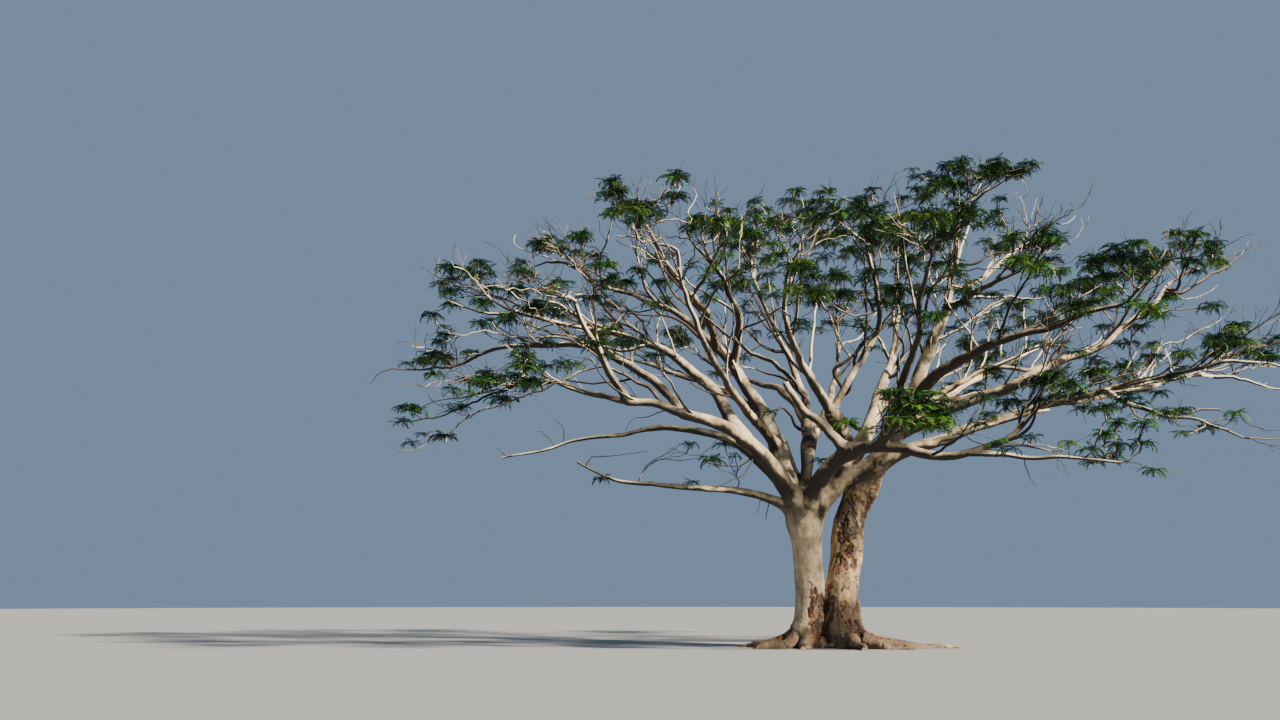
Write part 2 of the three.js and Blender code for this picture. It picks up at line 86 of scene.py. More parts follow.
# Limbs: parent, share along it, tip, rise of the two inner control points, sideways sway, radius at
# foot and tip, and for a limb that carries foliage the centre and half sizes of its mass
LIMBS = {
    "up_back": ("stem_left", 0.92, (1.3, 3.3, 7.95), (0.2, -0.8), 0.85, (0.25, 0.05),
                (1.4, 3.7, 8.85), (1.45, 1.5, 0.85)),
    "left_high": ("stem_left", 0.97, (-5.15, 0.7, 7.6), (1.9, 1.55), 1.95, (0.24, 0.05),
                  (-5.95, 0.9, 8.35), (1.45, 1.45, 0.85)),
    "left_broad": ("stem_left", 0.97, (-5.55, -1.7, 5.1), (1.6, -0.1), -1.45, (0.2, 0.05),
                   (-7.2, -2.2, 4.65), (1.8, 1.4, 0.65)),
    "leader": ("stem_right", 0.97, (2.5, 0.3, 8.65), (-0.6, -2.25), 0.45, (0.25, 0.05),
               (2.95, 0.5, 9.35), (1.6, 1.55, 0.75)),
    "up_mid": ("stem_left", 0.97, (-1.9, 1.9, 8.25), (1.55, -1.8), 0.75, (0.175, 0.05),
               (-1.9, 2.3, 9.05), (1.4, 1.5, 0.8)),
    "left_dead": ("stem_left", 0.97, (-7.2, 0.9, 3.9), (2.75, 0.85), 1.9, (0.17, 0.03)),
    "right_long": ("up_back", 0.12, (6.9, -0.5, 5.25), (0.6, 0.25), -0.1, (0.17, 0.05),
                   (7.7, -0.4, 5.55), (1.6, 1.45, 0.7)),
    "low_front": ("stem_left", 0.97, (3.55, -2.6, 4.3), (2.1, -1.55), 0.9, (0.2, 0.05),
                  (4, -2.9, 4.6), (1.4, 1.35, 0.7)),
    "up_centre": ("up_back", 0.27, (-0.95, -3.2, 6.55), (0.65, -0.5), 0.45, (0.14, 0.05),
                  (-0.65, -3.7, 7.1), (1.5, 1.45, 0.8)),
    "left_mid": ("left_broad", 0.29, (-6.7, -0.1, 6.85), (1.5, 0.55), 1.15, (0.14, 0.05),
                 (-7.65, -0.2, 7.35), (1.45, 1.6, 0.85)),
    "right_high": ("leader", 0.44, (4.85, -2.7, 6), (0.85, 0.05), 0.5, (0.14, 0.05),
                   (5.25, -3.1, 6.4), (1.5, 1.45, 0.8)),
    "right_mid": ("leader", 0.34, (6.6, 0.7, 7.15), (0.05, -0.95), 0.6, (0.15, 0.05),
                  (7.35, 0.9, 7.6), (1.45, 1.5, 0.85)),
    "left_low": ("stem_left", 0.95, (-5.2, -0.8, 3.55), (0.75, -0.65), -0.6, (0.11, 0.035)),
    "left_long": ("left_broad", 0.51, (-8.4, 2, 6.2), (1.05, 1.15), 0.65, (0.1, 0.05),
                  (-9.2, 2.2, 6.2), (1.3, 1.45, 0.8)),
    "left_fan": ("left_broad", 0.73, (-4.75, -3.4, 6.25), (0, -0.05), 0.1, (0.08, 0.05),
                 (-5.35, -3.9, 6.25), (1.5, 1.45, 0.8)),
    "left_top": ("left_high", 0.49, (-3.5, -3, 7.7), (0.75, -0.5), -0.1, (0.1, 0.05),
                 (-3.65, -3.2, 8.1), (1.4, 1.45, 0.7)),
    "up_left": ("left_high", 0.41, (-2.7, 0.2, 8), (0.2, -0.15), -0.5, (0.1, 0.05),
                (-2.9, 0.4, 8.65), (1.3, 1.45, 0.8)),
    "up_fork": ("up_centre", 0.19, (0.6, -0.9, 7.6), (0.9, -0.4), -0.9, (0.085, 0.05),
                (0.4, -0.7, 8.3), (1.4, 1.45, 0.8)),
    "right_bright": ("leader", 0.39, (4.75, 4, 6.7), (0, 0.2), 0, (0.11, 0.05),
                     (5.4, 4.4, 7.4), (1.45, 1.45, 0.8)),
    "right_back": ("right_long", 0.63, (8, 3.2, 5.6), (-0.2, 0.35), 0, (0.09, 0.05),
                   (8.8, 3.6, 5.8), (1.3, 1.4, 0.7)),
    "upper_right": ("leader", 0.81, (3, -2.2, 6.7), (-0.25, 0.05), -0.05, (0.08, 0.05),
                    (3.5, -2.5, 6.9), (1.4, 1.35, 0.75)),
    "top_right": ("leader", 0.86, (3.8, 1.9, 8.3), (-0.5, 0.15), 0.1, (0.08, 0.05),
                  (4.5, 2.1, 8.9), (1.3, 1.4, 0.75)),
    "back_left": ("up_mid", 0.27, (-2.95, 5.1, 6.45), (0.55, 0), 0.25, (0.11, 0.05),
                  (-3.75, 5.6, 7.15), (1.5, 1.45, 0.8)),
    "back_far": ("left_high", 0.24, (-5.15, 4.1, 6.65), (0.35, 0), 0.1, (0.1, 0.05),
                 (-6.05, 4.5, 7.15), (1.45, 1.45, 0.8)),
    "back_mid": ("up_mid", 0.19, (0, 5, 7.15), (-0.1, -0.05), 0.25, (0.11, 0.05),
                 (0.05, 5.5, 8), (1.45, 1.45, 0.8)),
    "back_right": ("up_back", 0.42, (2.75, 5.6, 5.95), (0.55, -0.15), -0.1, (0.1, 0.05),
                   (3.55, 6.1, 6.5), (1.4, 1.45, 0.75)),
    "front_left": ("left_high", 0.15, (-2.55, -4.9, 6.1), (-0.1, -0.2), 0.25, (0.11, 0.05),
                   (-2.6, -5.6, 6.5), (1.5, 1.45, 0.75)),
    "front_right": ("low_front", 0.41, (1.5, -4.6, 6.35), (-0.1, 0), -0.1, (0.1, 0.05),
                    (1.55, -5.3, 6.65), (1.45, 1.45, 0.75)),
    "low_pale": ("low_front", 0.73, (4.6, -3.4, 3.2), (-0.2, 0.1), -0.05, (0.055, 0.028)),
    "right_dead": ("right_long", 0.73, (6.4, -3, 3.7), (-0.2, 0), 0.05, (0.055, 0.025)),
    "front_low": ("low_front", 0.37, (1, -2.6, 4), (0, -0.1), -0.05, (0.07, 0.05),
                  (1.4, -2.9, 4.15), (1, 0.9, 0.55)),
}
LIMB_TAPER = 1.35
COLLAR = 0.22
WAVE_STEP = 1.1
WAVE_REACH = 0.045
TWIG_SPACING = 1.08
STEM_END = 0.042
TWIG_RADIUS = (0.032, 0.021)
LEAF_SPOTS = ((1, 0), (0.66, 1.05), (0.5, -1.1))
SPACE_GAP = 0.012
TURN = 2.39996

# Sizes of what only this script makes

STEP = 0.1                      # spacing of the points along a line of wood
FINE_STEP = 0.06                # the same for stems and roots
HEART = (-0.45, 0.05, 2.75)     # middle of the fork, whose wood is one melted piece
HEART_REACH = 1.9
STEM_CUT = 2.1                  # height where the stems' piece ends and the fork's begins
THIN_WOOD = 0.046               # wood thinner than this is made as plain tubes
HEART_VOXEL = 0.0165
LIMB_VOXEL = 0.025
FILLET = 0.2                    # how near two skins are where living wood has filled between them
OPENING = (-0.8, -0.25, 2.62)   # where the left stem opens into its limbs, and how far that reaches
OPENING_REACH = (0.6, 0.6, 0.5)
OPENING_PASSES = 60
ROOT_BACK = 0.45                # how far a limb's foot is sunk back into what carries it
SLIMMER = {"up_mid": 0.72, "left_dead": 0.85, "top_right": 0.7}     # share of the solids' radius at the foot
SWAY = 0.07                     # how far the wood's kinks reach out of its even sweep
THICK_BOUGH = 0.055             # boughs that show and are this thick at the foot are melted to the limbs
BOUGH_TIP = 0.0065              # radius at the end of a bough that carries a clump
SPRAY_TWIG = (0.0075, 0.005)    # radius at foot and tip of a clump's short twigs
BARE_TIP = 0.0035               # radius at the end of a dead twig
GROUND_CLEARANCE = 0.3          # nothing that is grown here comes nearer to the ground

FROND_LENGTH = 0.27
FROND_PAIRS = 7
FROND_DROOPS = (62, 88, 112)    # how far a frond's tip turns down from its start, in degrees
RIB_STEPS = 40
ROSETTE_FRONDS = 8
PAINTED_SHADE_WAY = (-0.55, 0.1, -0.83)       # the way that the sides look which get painted shade: down and away from the sun
PAINTED_SHADE_WAY_THIN = (-0.52, -0.28, -0.8)     # the same for thin wood
PAINTED_SHADE_WAY_TURN = 0.17                 # how far that way a face of thin wood looks before it gets the painted shade
PLATE_SIZE = (0.13, 0.13, 0.22)     # of the rough bark
FLAKE_SIZE = (0.05, 0.05, 0.08)
OUTSIDE = 0.02                  # share of the solids' size that twigs and leaves may stand proud


def unit(vector):
    return vector / max(np.linalg.norm(vector), 1e-9)


def dice(seed):
    """A repeatable stream of numbers between 0 and 1, the same as the one in the solids."""
    state = seed & MASK
    while True:
        state = (state + 0x6D2B79F5) & MASK
        stirred = ((state ^ (state >> 15)) * (state | 1)) & MASK
        stirred ^= (stirred + (stirred ^ (stirred >> 7)) * (stirred | 61)) & MASK
        yield ((stirred ^ (stirred >> 14)) & MASK) / 4294967296


# Lines of wood, by the rule that the solids follow

def curve_point(points, share):
    """A point on the centripetal curve through the points, at a share of its parameter."""
    place = share * (len(points) - 1)
    low = min(int(place), len(points) - 2)
    weight = place - low
    first, second = points[low], points[low + 1]
    before = points[low - 1] if low > 0 else 2 * first - second
    after = points[low + 2] if low + 2 < len(points) else 2 * second - first
    gaps = [np.sum((b - a) ** 2) ** 0.25 for a, b in ((before, first), (first, second), (second, after))]
    gap_in, gap, gap_out = (max(g, 1e-4) for g in gaps)
    pull_in = (first - before) / gap_in - (second - before) / (gap_in + gap) + (second - first) / gap
    pull_out = (second - first) / gap - (after - first) / (gap + gap_out) + (after - second) / gap_out
    pull_in, pull_out = pull_in * gap, pull_out * gap
    square = -3 * first + 3 * second - 2 * pull_in - pull_out
    cube = 2 * first - 2 * second + pull_in + pull_out
    return first + pull_in * weight + square * weight ** 2 + cube * weight ** 3


def even_line(dense, step=STEP):
    """The same line again with its points evenly spaced."""
    lengths = np.linalg.norm(np.diff(dense, axis=0), axis=1)
    along = np.concatenate([[0], np.cumsum(lengths)])
    count = max(2, round(along[-1] / step) + 1)
    places = np.linspace(0, along[-1], count)
    return np.stack([np.interp(places, along, dense[:, k]) for k in range(3)], axis=1)


def smooth_line(points, step=STEP):
    points = [np.array(p, float) for p in points]
    return even_line(np.array([curve_point(points, s) for s in np.linspace(0, 1, 24 * len(points))]), step)


def bezier(points, shares):
    """Points on a Bezier curve with three or four control points."""
    shares = np.asarray(shares, float)[:, None]
    order = len(points) - 1
    return sum(
        math.comb(order, k) * (1 - shares) ** (order - k) * shares ** k * point
        for k, point in enumerate(points)
    )


def tangents(line):
    steps = np.gradient(line, axis=0)
    return steps / np.maximum(np.linalg.norm(steps, axis=1, keepdims=True), 1e-9)


def limb_points(name, order):
    """The points that a limb's curve passes through: a bent sweep with a light seeded wave."""
    parent, at, tip, lift, sway = LIMBS[name][:5]
    foot = curve_point(controls[parent], at)
    run = np.array(tip) - foot
    side = unit(np.array([run[1], -run[0], 0]))
    inner = [foot + run * (k + 1) / 3 + UP * lift[k] + side * sway for k in range(2)]
    count = max(5, math.floor(np.linalg.norm(run) / WAVE_STEP + 0.5) + 3)
    shares = np.arange(count + 1) / count
    random = dice(40 + order)
    points = bezier([foot, *inner, np.array(tip)], shares)
    for point, share in zip(points, shares):
        wave = WAVE_REACH * math.sin(math.pi * share)
        point += side * wave * (2 * next(random) - 1)
        point += UP * wave * (2 * next(random) - 1)
    return list(points)


def limb_radius(name, share):
    foot, tip = LIMBS[name][5]
    foot = foot * SLIMMER.get(name, 1)
    collar = 1 + COLLAR * np.maximum(0, 1 - share / 0.12) ** 2
    return (tip + (foot - tip) * (1 - share) ** LIMB_TAPER) * collar * (1 - 0.25 * share ** 3)


class Wood:
    """One line of wood with a radius at each of its points."""

    def __init__(self, line, radius, tint=0):
        self.line = np.asarray(line, float)
        self.radius = np.broadcast_to(np.asarray(radius, float), len(self.line)).copy()
        self.tint = tint

    def part(self, keep):
        """The stretch of this line from the first to the last point that is kept, or nothing."""
        kept = np.flatnonzero(keep)
        if len(kept) < 2:
            return None
        return Wood(self.line[kept[0]:kept[-1] + 1], self.radius[kept[0]:kept[-1] + 1], self.tint)

    def at(self, share):
        """Point, heading and radius at a share of the length."""
        place = share * (len(self.line) - 1)
        low = min(int(place), len(self.line) - 2)
        weight = place - low
        point = self.line[low] * (1 - weight) + self.line[low + 1] * weight
        radius = self.radius[low] * (1 - weight) + self.radius[low + 1] * weight
        return point, unit(self.line[low + 1] - self.line[low]), radius


def root_line(foot, row):
    """A surface root's centre line, which dives to the ground and runs out along it."""
    heading, reach, _, height = row
    out = np.array([math.cos(math.radians(heading)), math.sin(math.radians(heading)), 0])
    side = np.cross(UP, out)
    bend = 0.07 * reach * math.sin(heading)
    level = np.array([foot[0], foot[1], 0])
    return [
        level + out * 0.06 + UP * height,
        level + out * 0.36 + UP * height * 0.42,
        level + out * (0.55 * reach + 0.1) + side * bend + UP * 0.012,
        level + out * (0.8 * reach + 0.1) - side * bend - UP * 0.01,
        level + out * (reach + 0.25) + side * bend - UP * 0.075,
    ]


controls = {name: [np.array(p, float) for p in row["line"][1:]] for name, row in STEMS.items()}
limbs = {}
for limb_order, limb_name in enumerate(LIMBS):
    controls[limb_name] = limb_points(limb_name, limb_order)
    limb_line = smooth_line(controls[limb_name])
    limbs[limb_name] = Wood(limb_line, limb_radius(limb_name, np.linspace(0, 1, len(limb_line))))


def rooted(wood, carrier, at):
    """The same wood begun further back, down the middle of what carries it, so that it flows out."""
    down = unit(curve_point(controls[carrier], max(0, at - 0.08)) - curve_point(controls[carrier], at))
    steps = np.array([1.0, 0.66, 0.33])[:, None] * down * ROOT_BACK
    line = np.vstack([wood.line[0] + steps, wood.line])
    radius = np.concatenate([np.array([0.3, 0.6, 0.85]) * wood.radius[0], wood.radius])
    return Wood(line, radius, wood.tint)


def domed(wood):
    """The same wood with a rounded end, for a stem whose top lies among its limbs."""
    end = unit(wood.line[-1] - wood.line[-2])
    rises = np.array([0.13, 0.27, 0.42])[:, None] * end
    line = np.vstack([wood.line, wood.line[-1] + rises])
    radius = np.concatenate([wood.radius, np.array([0.84, 0.6, 0.28]) * wood.radius[-1]])
    return Wood(line, radius)


stems = {}
roots = []
for stem_name, stem_row in STEMS.items():
    stem_line = smooth_line(stem_row["line"], FINE_STEP)
    radius_places = np.linspace(0, 1, len(stem_row["radius"]))
    stem_radius = np.interp(np.linspace(0, 1, len(stem_line)), radius_places, stem_row["radius"])
    stem_radius *= 1 + 0.42 * np.exp(-np.maximum(stem_line[:, 2], 0) / 0.23)
    stems[stem_name] = Wood(stem_line, stem_radius)
    for root_row in stem_row["roots"]:
        root = smooth_line(root_line(stem_row["line"][1], root_row), FINE_STEP)
        roots.append(Wood(root, root_row[2] * np.linspace(1.1, 0.38, len(root))))


# Masses: their spaces, and the twigs that fan out in them

class Mass:
    """The space of one mass of foliage at the end of its limb."""

    def __init__(self, name):
        self.name = name
        self.centre = np.array(LIMBS[name][6], float)
        self.half = np.array(LIMBS[name][7], float)
        self.tip, self.end, _ = limbs[name].at(1)
        ahead = unit(self.end * (1, 1, 0))
        self.axes = np.array([ahead, np.cross(UP, ahead), UP])

    def reach(self, direction):
        return np.linalg.norm(self.axes @ direction * self.half)

    def holds(self, point, spare=1.0):
        """Whether the point is in this mass's ellipsoid and on its own side of every neighbour."""
        offset = point - self.centre
        if np.linalg.norm(self.axes @ offset / self.half) > spare:
            return False
        for other in masses:
            if other is self:
                continue
            across = other.centre - self.centre
            distance = np.linalg.norm(across)
            across = across / distance
            share = self.reach(across) / (self.reach(across) + other.reach(across))
            if offset @ across > distance * share * spare - SPACE_GAP:
                return False
        return True


masses = [Mass(name) for name, row in LIMBS.items() if len(row) > 6]

low_corner, high_corner = (np.array(corner, float) for corner in cad_box)
spare_room = (high_corner - low_corner) * OUTSIDE


def in_box(point):
    """Whether a point stays within the solids' box, with the little that may stand proud."""
    inside = np.all(point > low_corner - spare_room) and np.all(point < high_corner + spare_room)
    return bool(inside and point[2] > GROUND_CLEARANCE)


# What the photograph's frame shows, in its own pixels

FRAME_WIDTH, FRAME_HEIGHT = 1280, 720
FOCAL_PIXELS = 1300
CAMERA_PLACE = np.array([0.0, -26.0, 1.0])
CAMERA_PITCH, CAMERA_YAW = 10.2619, 8.9272


def camera_axes():
    """Right, up and forward of the camera."""
    pitch, yaw = math.radians(CAMERA_PITCH), math.radians(CAMERA_YAW)
    level = np.array([-math.sin(yaw), math.cos(yaw), 0])
    forward = level * math.cos(pitch) + UP * math.sin(pitch)
    right = np.array([math.cos(yaw), math.sin(yaw), 0])
    return right, np.cross(right, forward), forward


CAMERA_RIGHT, CAMERA_UP, CAMERA_FORWARD = camera_axes()


def in_frame(places):
    """Where places fall in the frame."""
    offset = np.atleast_2d(places) - CAMERA_PLACE
    ahead = offset @ CAMERA_FORWARD
    across = FRAME_WIDTH / 2 + FOCAL_PIXELS * (offset @ CAMERA_RIGHT) / ahead
    down = FRAME_HEIGHT / 2 - FOCAL_PIXELS * (offset @ CAMERA_UP) / ahead
    return np.column_stack([across, down])


def seen_at(across, down, depth):
    """The place that shows at a point of the frame and lies at a depth along Y."""
    ray = CAMERA_FORWARD + CAMERA_RIGHT * (across - FRAME_WIDTH / 2) / FOCAL_PIXELS
    ray = ray + CAMERA_UP * (FRAME_HEIGHT / 2 - down) / FOCAL_PIXELS
    return CAMERA_PLACE + ray * (depth - CAMERA_PLACE[1]) / ray[1]


# How the leaves of a clump shine: painted shade when dark, painted light when bright
DARK, MIDDLING, BRIGHT = range(3)

# Clumps of leaves that show, by the mass whose depth they lie at: place in the frame, width in
# decimetres, and shine, where 0 is dark (painted shade), 1 middling and 2 bright (painted light)
SEEN_CLUMPS = {
    "left_mid": [
        (452, 268, 3, 0), (476, 277, 7, 1), (448, 294, 6, 0), (450, 305, 5, 0), (478, 304, 8, 1),
        (490, 287, 5, 0), (520, 265, 4, 0), (520, 291, 6, 0), (548, 293, 5, 0), (510, 321, 5, 0),
        (535, 311, 9, 0), (556, 312, 5, 0), (430, 316, 5, 0), (480, 325, 5, 0), (446, 326, 2, 0),
    ],
    "left_high": [
        (541, 252, 5, 0), (548, 239, 4, 0), (580, 240, 4, 0), (576, 253, 3, 0), (593, 258, 7, 0),
        (606, 268, 5, 2), (613, 279, 4, 1), (558, 283, 3, 0), (590, 300, 5, 0), (612, 306, 4, 0),
        (638, 272, 4, 0), (626, 283, 5, 0),
    ],
    "left_long": [
        (433, 355, 8, 0), (425, 363, 7, 0), (445, 360, 6, 0), (432, 376, 5, 0), (405, 365, 3, 0),
        (468, 353, 2, 0), (440, 344, 5, 0),
    ],
    "left_broad": [
        (410, 412, 7, 0), (403, 423, 4, 0), (445, 434, 5, 0), (422, 434, 2, 0), (411, 444, 2, 0),
        (500, 402, 7, 0), (458, 410, 4, 0), (447, 405, 2, 0), (462, 380, 4, 0), (452, 392, 4, 0),
        (470, 393, 3, 1), (485, 373, 3, 0), (495, 377, 3, 0), (480, 387, 4, 0),
    ],
    "left_fan": [
        (521, 357, 4, 0), (525, 371, 9, 0), (532, 385, 5, 0), (546, 367, 4, 0), (563, 366, 4, 0),
        (580, 366, 3, 0), (600, 345, 6, 0), (622, 346, 5, 0), (640, 344, 4, 0), (612, 330, 4, 0),
    ],
    "left_top": [
        (617, 190, 5, 0), (640, 211, 9, 0), (612, 215, 4, 0), (678, 178, 6, 0), (678, 192, 4, 0),
        (626, 206, 5, 0),
    ],
    "back_far": [
        (658, 262, 6, 0), (672, 258, 4, 0), (660, 284, 6, 0), (666, 300, 4, 0), (680, 327, 3, 0),
        (680, 345, 4, 0), (664, 352, 5, 0), (700, 322, 3, 0),
    ],
    "up_left": [
        (702, 222, 8, 1), (735, 222, 7, 2), (745, 234, 6, 1), (735, 246, 5, 0), (712, 268, 4, 1),
        (715, 287, 4, 1), (690, 230, 5, 1), (750, 252, 4, 0),
    ],
    "up_mid": [
        (775, 222, 7, 0), (758, 236, 6, 0), (790, 228, 5, 0), (736, 276, 5, 1), (741, 290, 5, 0),
        (770, 263, 5, 0), (755, 210, 2, 0),
    ],
    "up_centre": [
        (800, 270, 9, 1), (790, 290, 5, 1), (820, 294, 6, 1), (800, 323, 4, 0), (812, 282, 6, 0),
    ],
    "up_fork": [
        (808, 220, 6, 2), (822, 205, 5, 1), (828, 191, 3, 0), (838, 236, 5, 1), (820, 236, 5, 0),
        (850, 252, 5, 0), (858, 209, 6, 0), (878, 220, 5, 1), (868, 236, 5, 0), (886, 232, 5, 0),
    ],
    "back_mid": [
        (836, 279, 8, 0), (850, 300, 4, 2), (716, 356, 2, 0), (716, 374, 3, 0), (745, 360, 3, 0),
    ],
    "up_back": [
        (905, 236, 5, 0), (895, 250, 5, 1), (915, 261, 6, 0), (910, 275, 4, 0), (920, 291, 6, 1),
        (882, 287, 4, 0), (860, 262, 4, 0), (905, 215, 3, 0), (918, 218, 3, 0),
    ],
    "leader": [
        (912, 170, 2, 0), (916, 178, 3, 0), (930, 177, 4, 0), (948, 168, 5, 0), (935, 187, 5, 1),
        (926, 195, 4, 0), (962, 172, 4, 0), (962, 186, 4, 0), (915, 191, 3, 0), (984, 176, 4, 2),
        (998, 160, 3, 0), (998, 173, 4, 1), (1022, 174, 5, 0), (1037, 166, 3, 0), (972, 205, 3, 0),
        (962, 218, 4, 0), (944, 180, 4, 0),
    ],
    "top_right": [
        (1002, 200, 4, 0), (997, 212, 3, 0), (998, 225, 3, 0), (985, 244, 4, 0), (1003, 243, 3, 0),
        (1040, 250, 4, 0), (1047, 237, 2, 0),
    ],
    "upper_right": [
        (925, 232, 6, 2), (947, 235, 6, 0), (931, 248, 6, 0), (1020, 262, 8, 2), (1040, 266, 6, 2),
        (956, 268, 4, 1), (968, 292, 3, 0),
    ],
    "right_bright": [
        (1010, 305, 6, 0), (990, 320, 3, 0), (1062, 275, 6, 0), (1070, 290, 7, 0), (1085, 305, 8, 2),
        (1060, 308, 6, 1), (1025, 325, 6, 0), (1050, 323, 5, 0),
    ],
    "right_high": [
        (1100, 262, 8, 0), (1115, 248, 4, 0), (1090, 266, 4, 0), (1105, 279, 5, 0), (1135, 262, 7, 0),
        (1163, 261, 3, 0), (1108, 293, 5, 1), (1085, 283, 4, 0), (1130, 308, 5, 2),
    ],
    "right_mid": [
        (1183, 247, 6, 1), (1168, 254, 4, 1), (1213, 255, 6, 1), (1218, 265, 5, 2), (1216, 245, 3, 0),
        (1197, 273, 4, 0), (1150, 310, 7, 2), (1170, 299, 6, 1), (1216, 309, 5, 0), (1205, 308, 3, 0),
        (1143, 328, 4, 0), (1183, 355, 4, 1),
    ],
    "right_long": [
        (1228, 345, 9, 0), (1215, 342, 6, 0), (1244, 347, 6, 1), (1232, 331, 3, 1), (1270, 345, 4, 0),
        (1275, 361, 4, 0), (1125, 368, 7, 1), (1150, 346, 3, 0),
    ],
    "back_right": [
        (965, 342, 6, 0), (985, 345, 6, 0), (995, 358, 3, 0), (1060, 346, 6, 0), (1068, 356, 5, 0),
        (1012, 365, 3, 2), (985, 371, 4, 1),
    ],
    "front_low": [
        (893, 396, 7, 1), (916, 403, 9, 1), (938, 424, 10, 2), (905, 422, 8, 1), (925, 411, 8, 1),
        (898, 412, 7, 1), (922, 428, 8, 1), (948, 414, 7, 0),
        (846, 425, 5, 2), (870, 432, 3, 1), (958, 405, 4, 0),
    ],
    "low_front": [
        (1040, 386, 8, 0), (1070, 390, 9, 1), (1095, 376, 6, 1), (1055, 378, 6, 1), (985, 400, 5, 0),
        (1005, 402, 4, 0), (990, 415, 4, 0), (980, 426, 4, 0), (1130, 401, 6, 0), (1108, 411, 5, 0),
        (1090, 410, 4, 0), (1000, 441, 3, 0), (1030, 436, 3, 0), (1010, 448, 3, 0), (1120, 425, 5, 0),
        (1145, 428, 5, 0), (1105, 437, 6, 1), (1120, 446, 4, 0), (1145, 443, 4, 0), (1182, 431, 3, 0),
        (1208, 432, 4, 0), (1233, 415, 4, 2), (1068, 443, 4, 2), (1095, 452, 4, 0), (1115, 457, 5, 0),
        (1095, 462, 3, 0), (1155, 473, 4, 0),
    ],
    "front_left": [(710, 463, 5, 0), (690, 448, 3, 0), (725, 446, 4, 0), (735, 456, 3, 0),
                   (692, 484, 3, 0), (601, 482, 3, 0), (820, 461, 3, 0), (770, 412, 2, 0)],
}
# The clumps listed under front_left that show below this edge hang at this depth, from limbs near
# the stems
LOW_EDGE = 400
LOW_DEPTH = -0.6

# Tints of thin wood: partly its own tones and partly painted light, with brown for boughs that show in shade
# and pale for lit ones
PALE, GREY, BROWN = range(3)

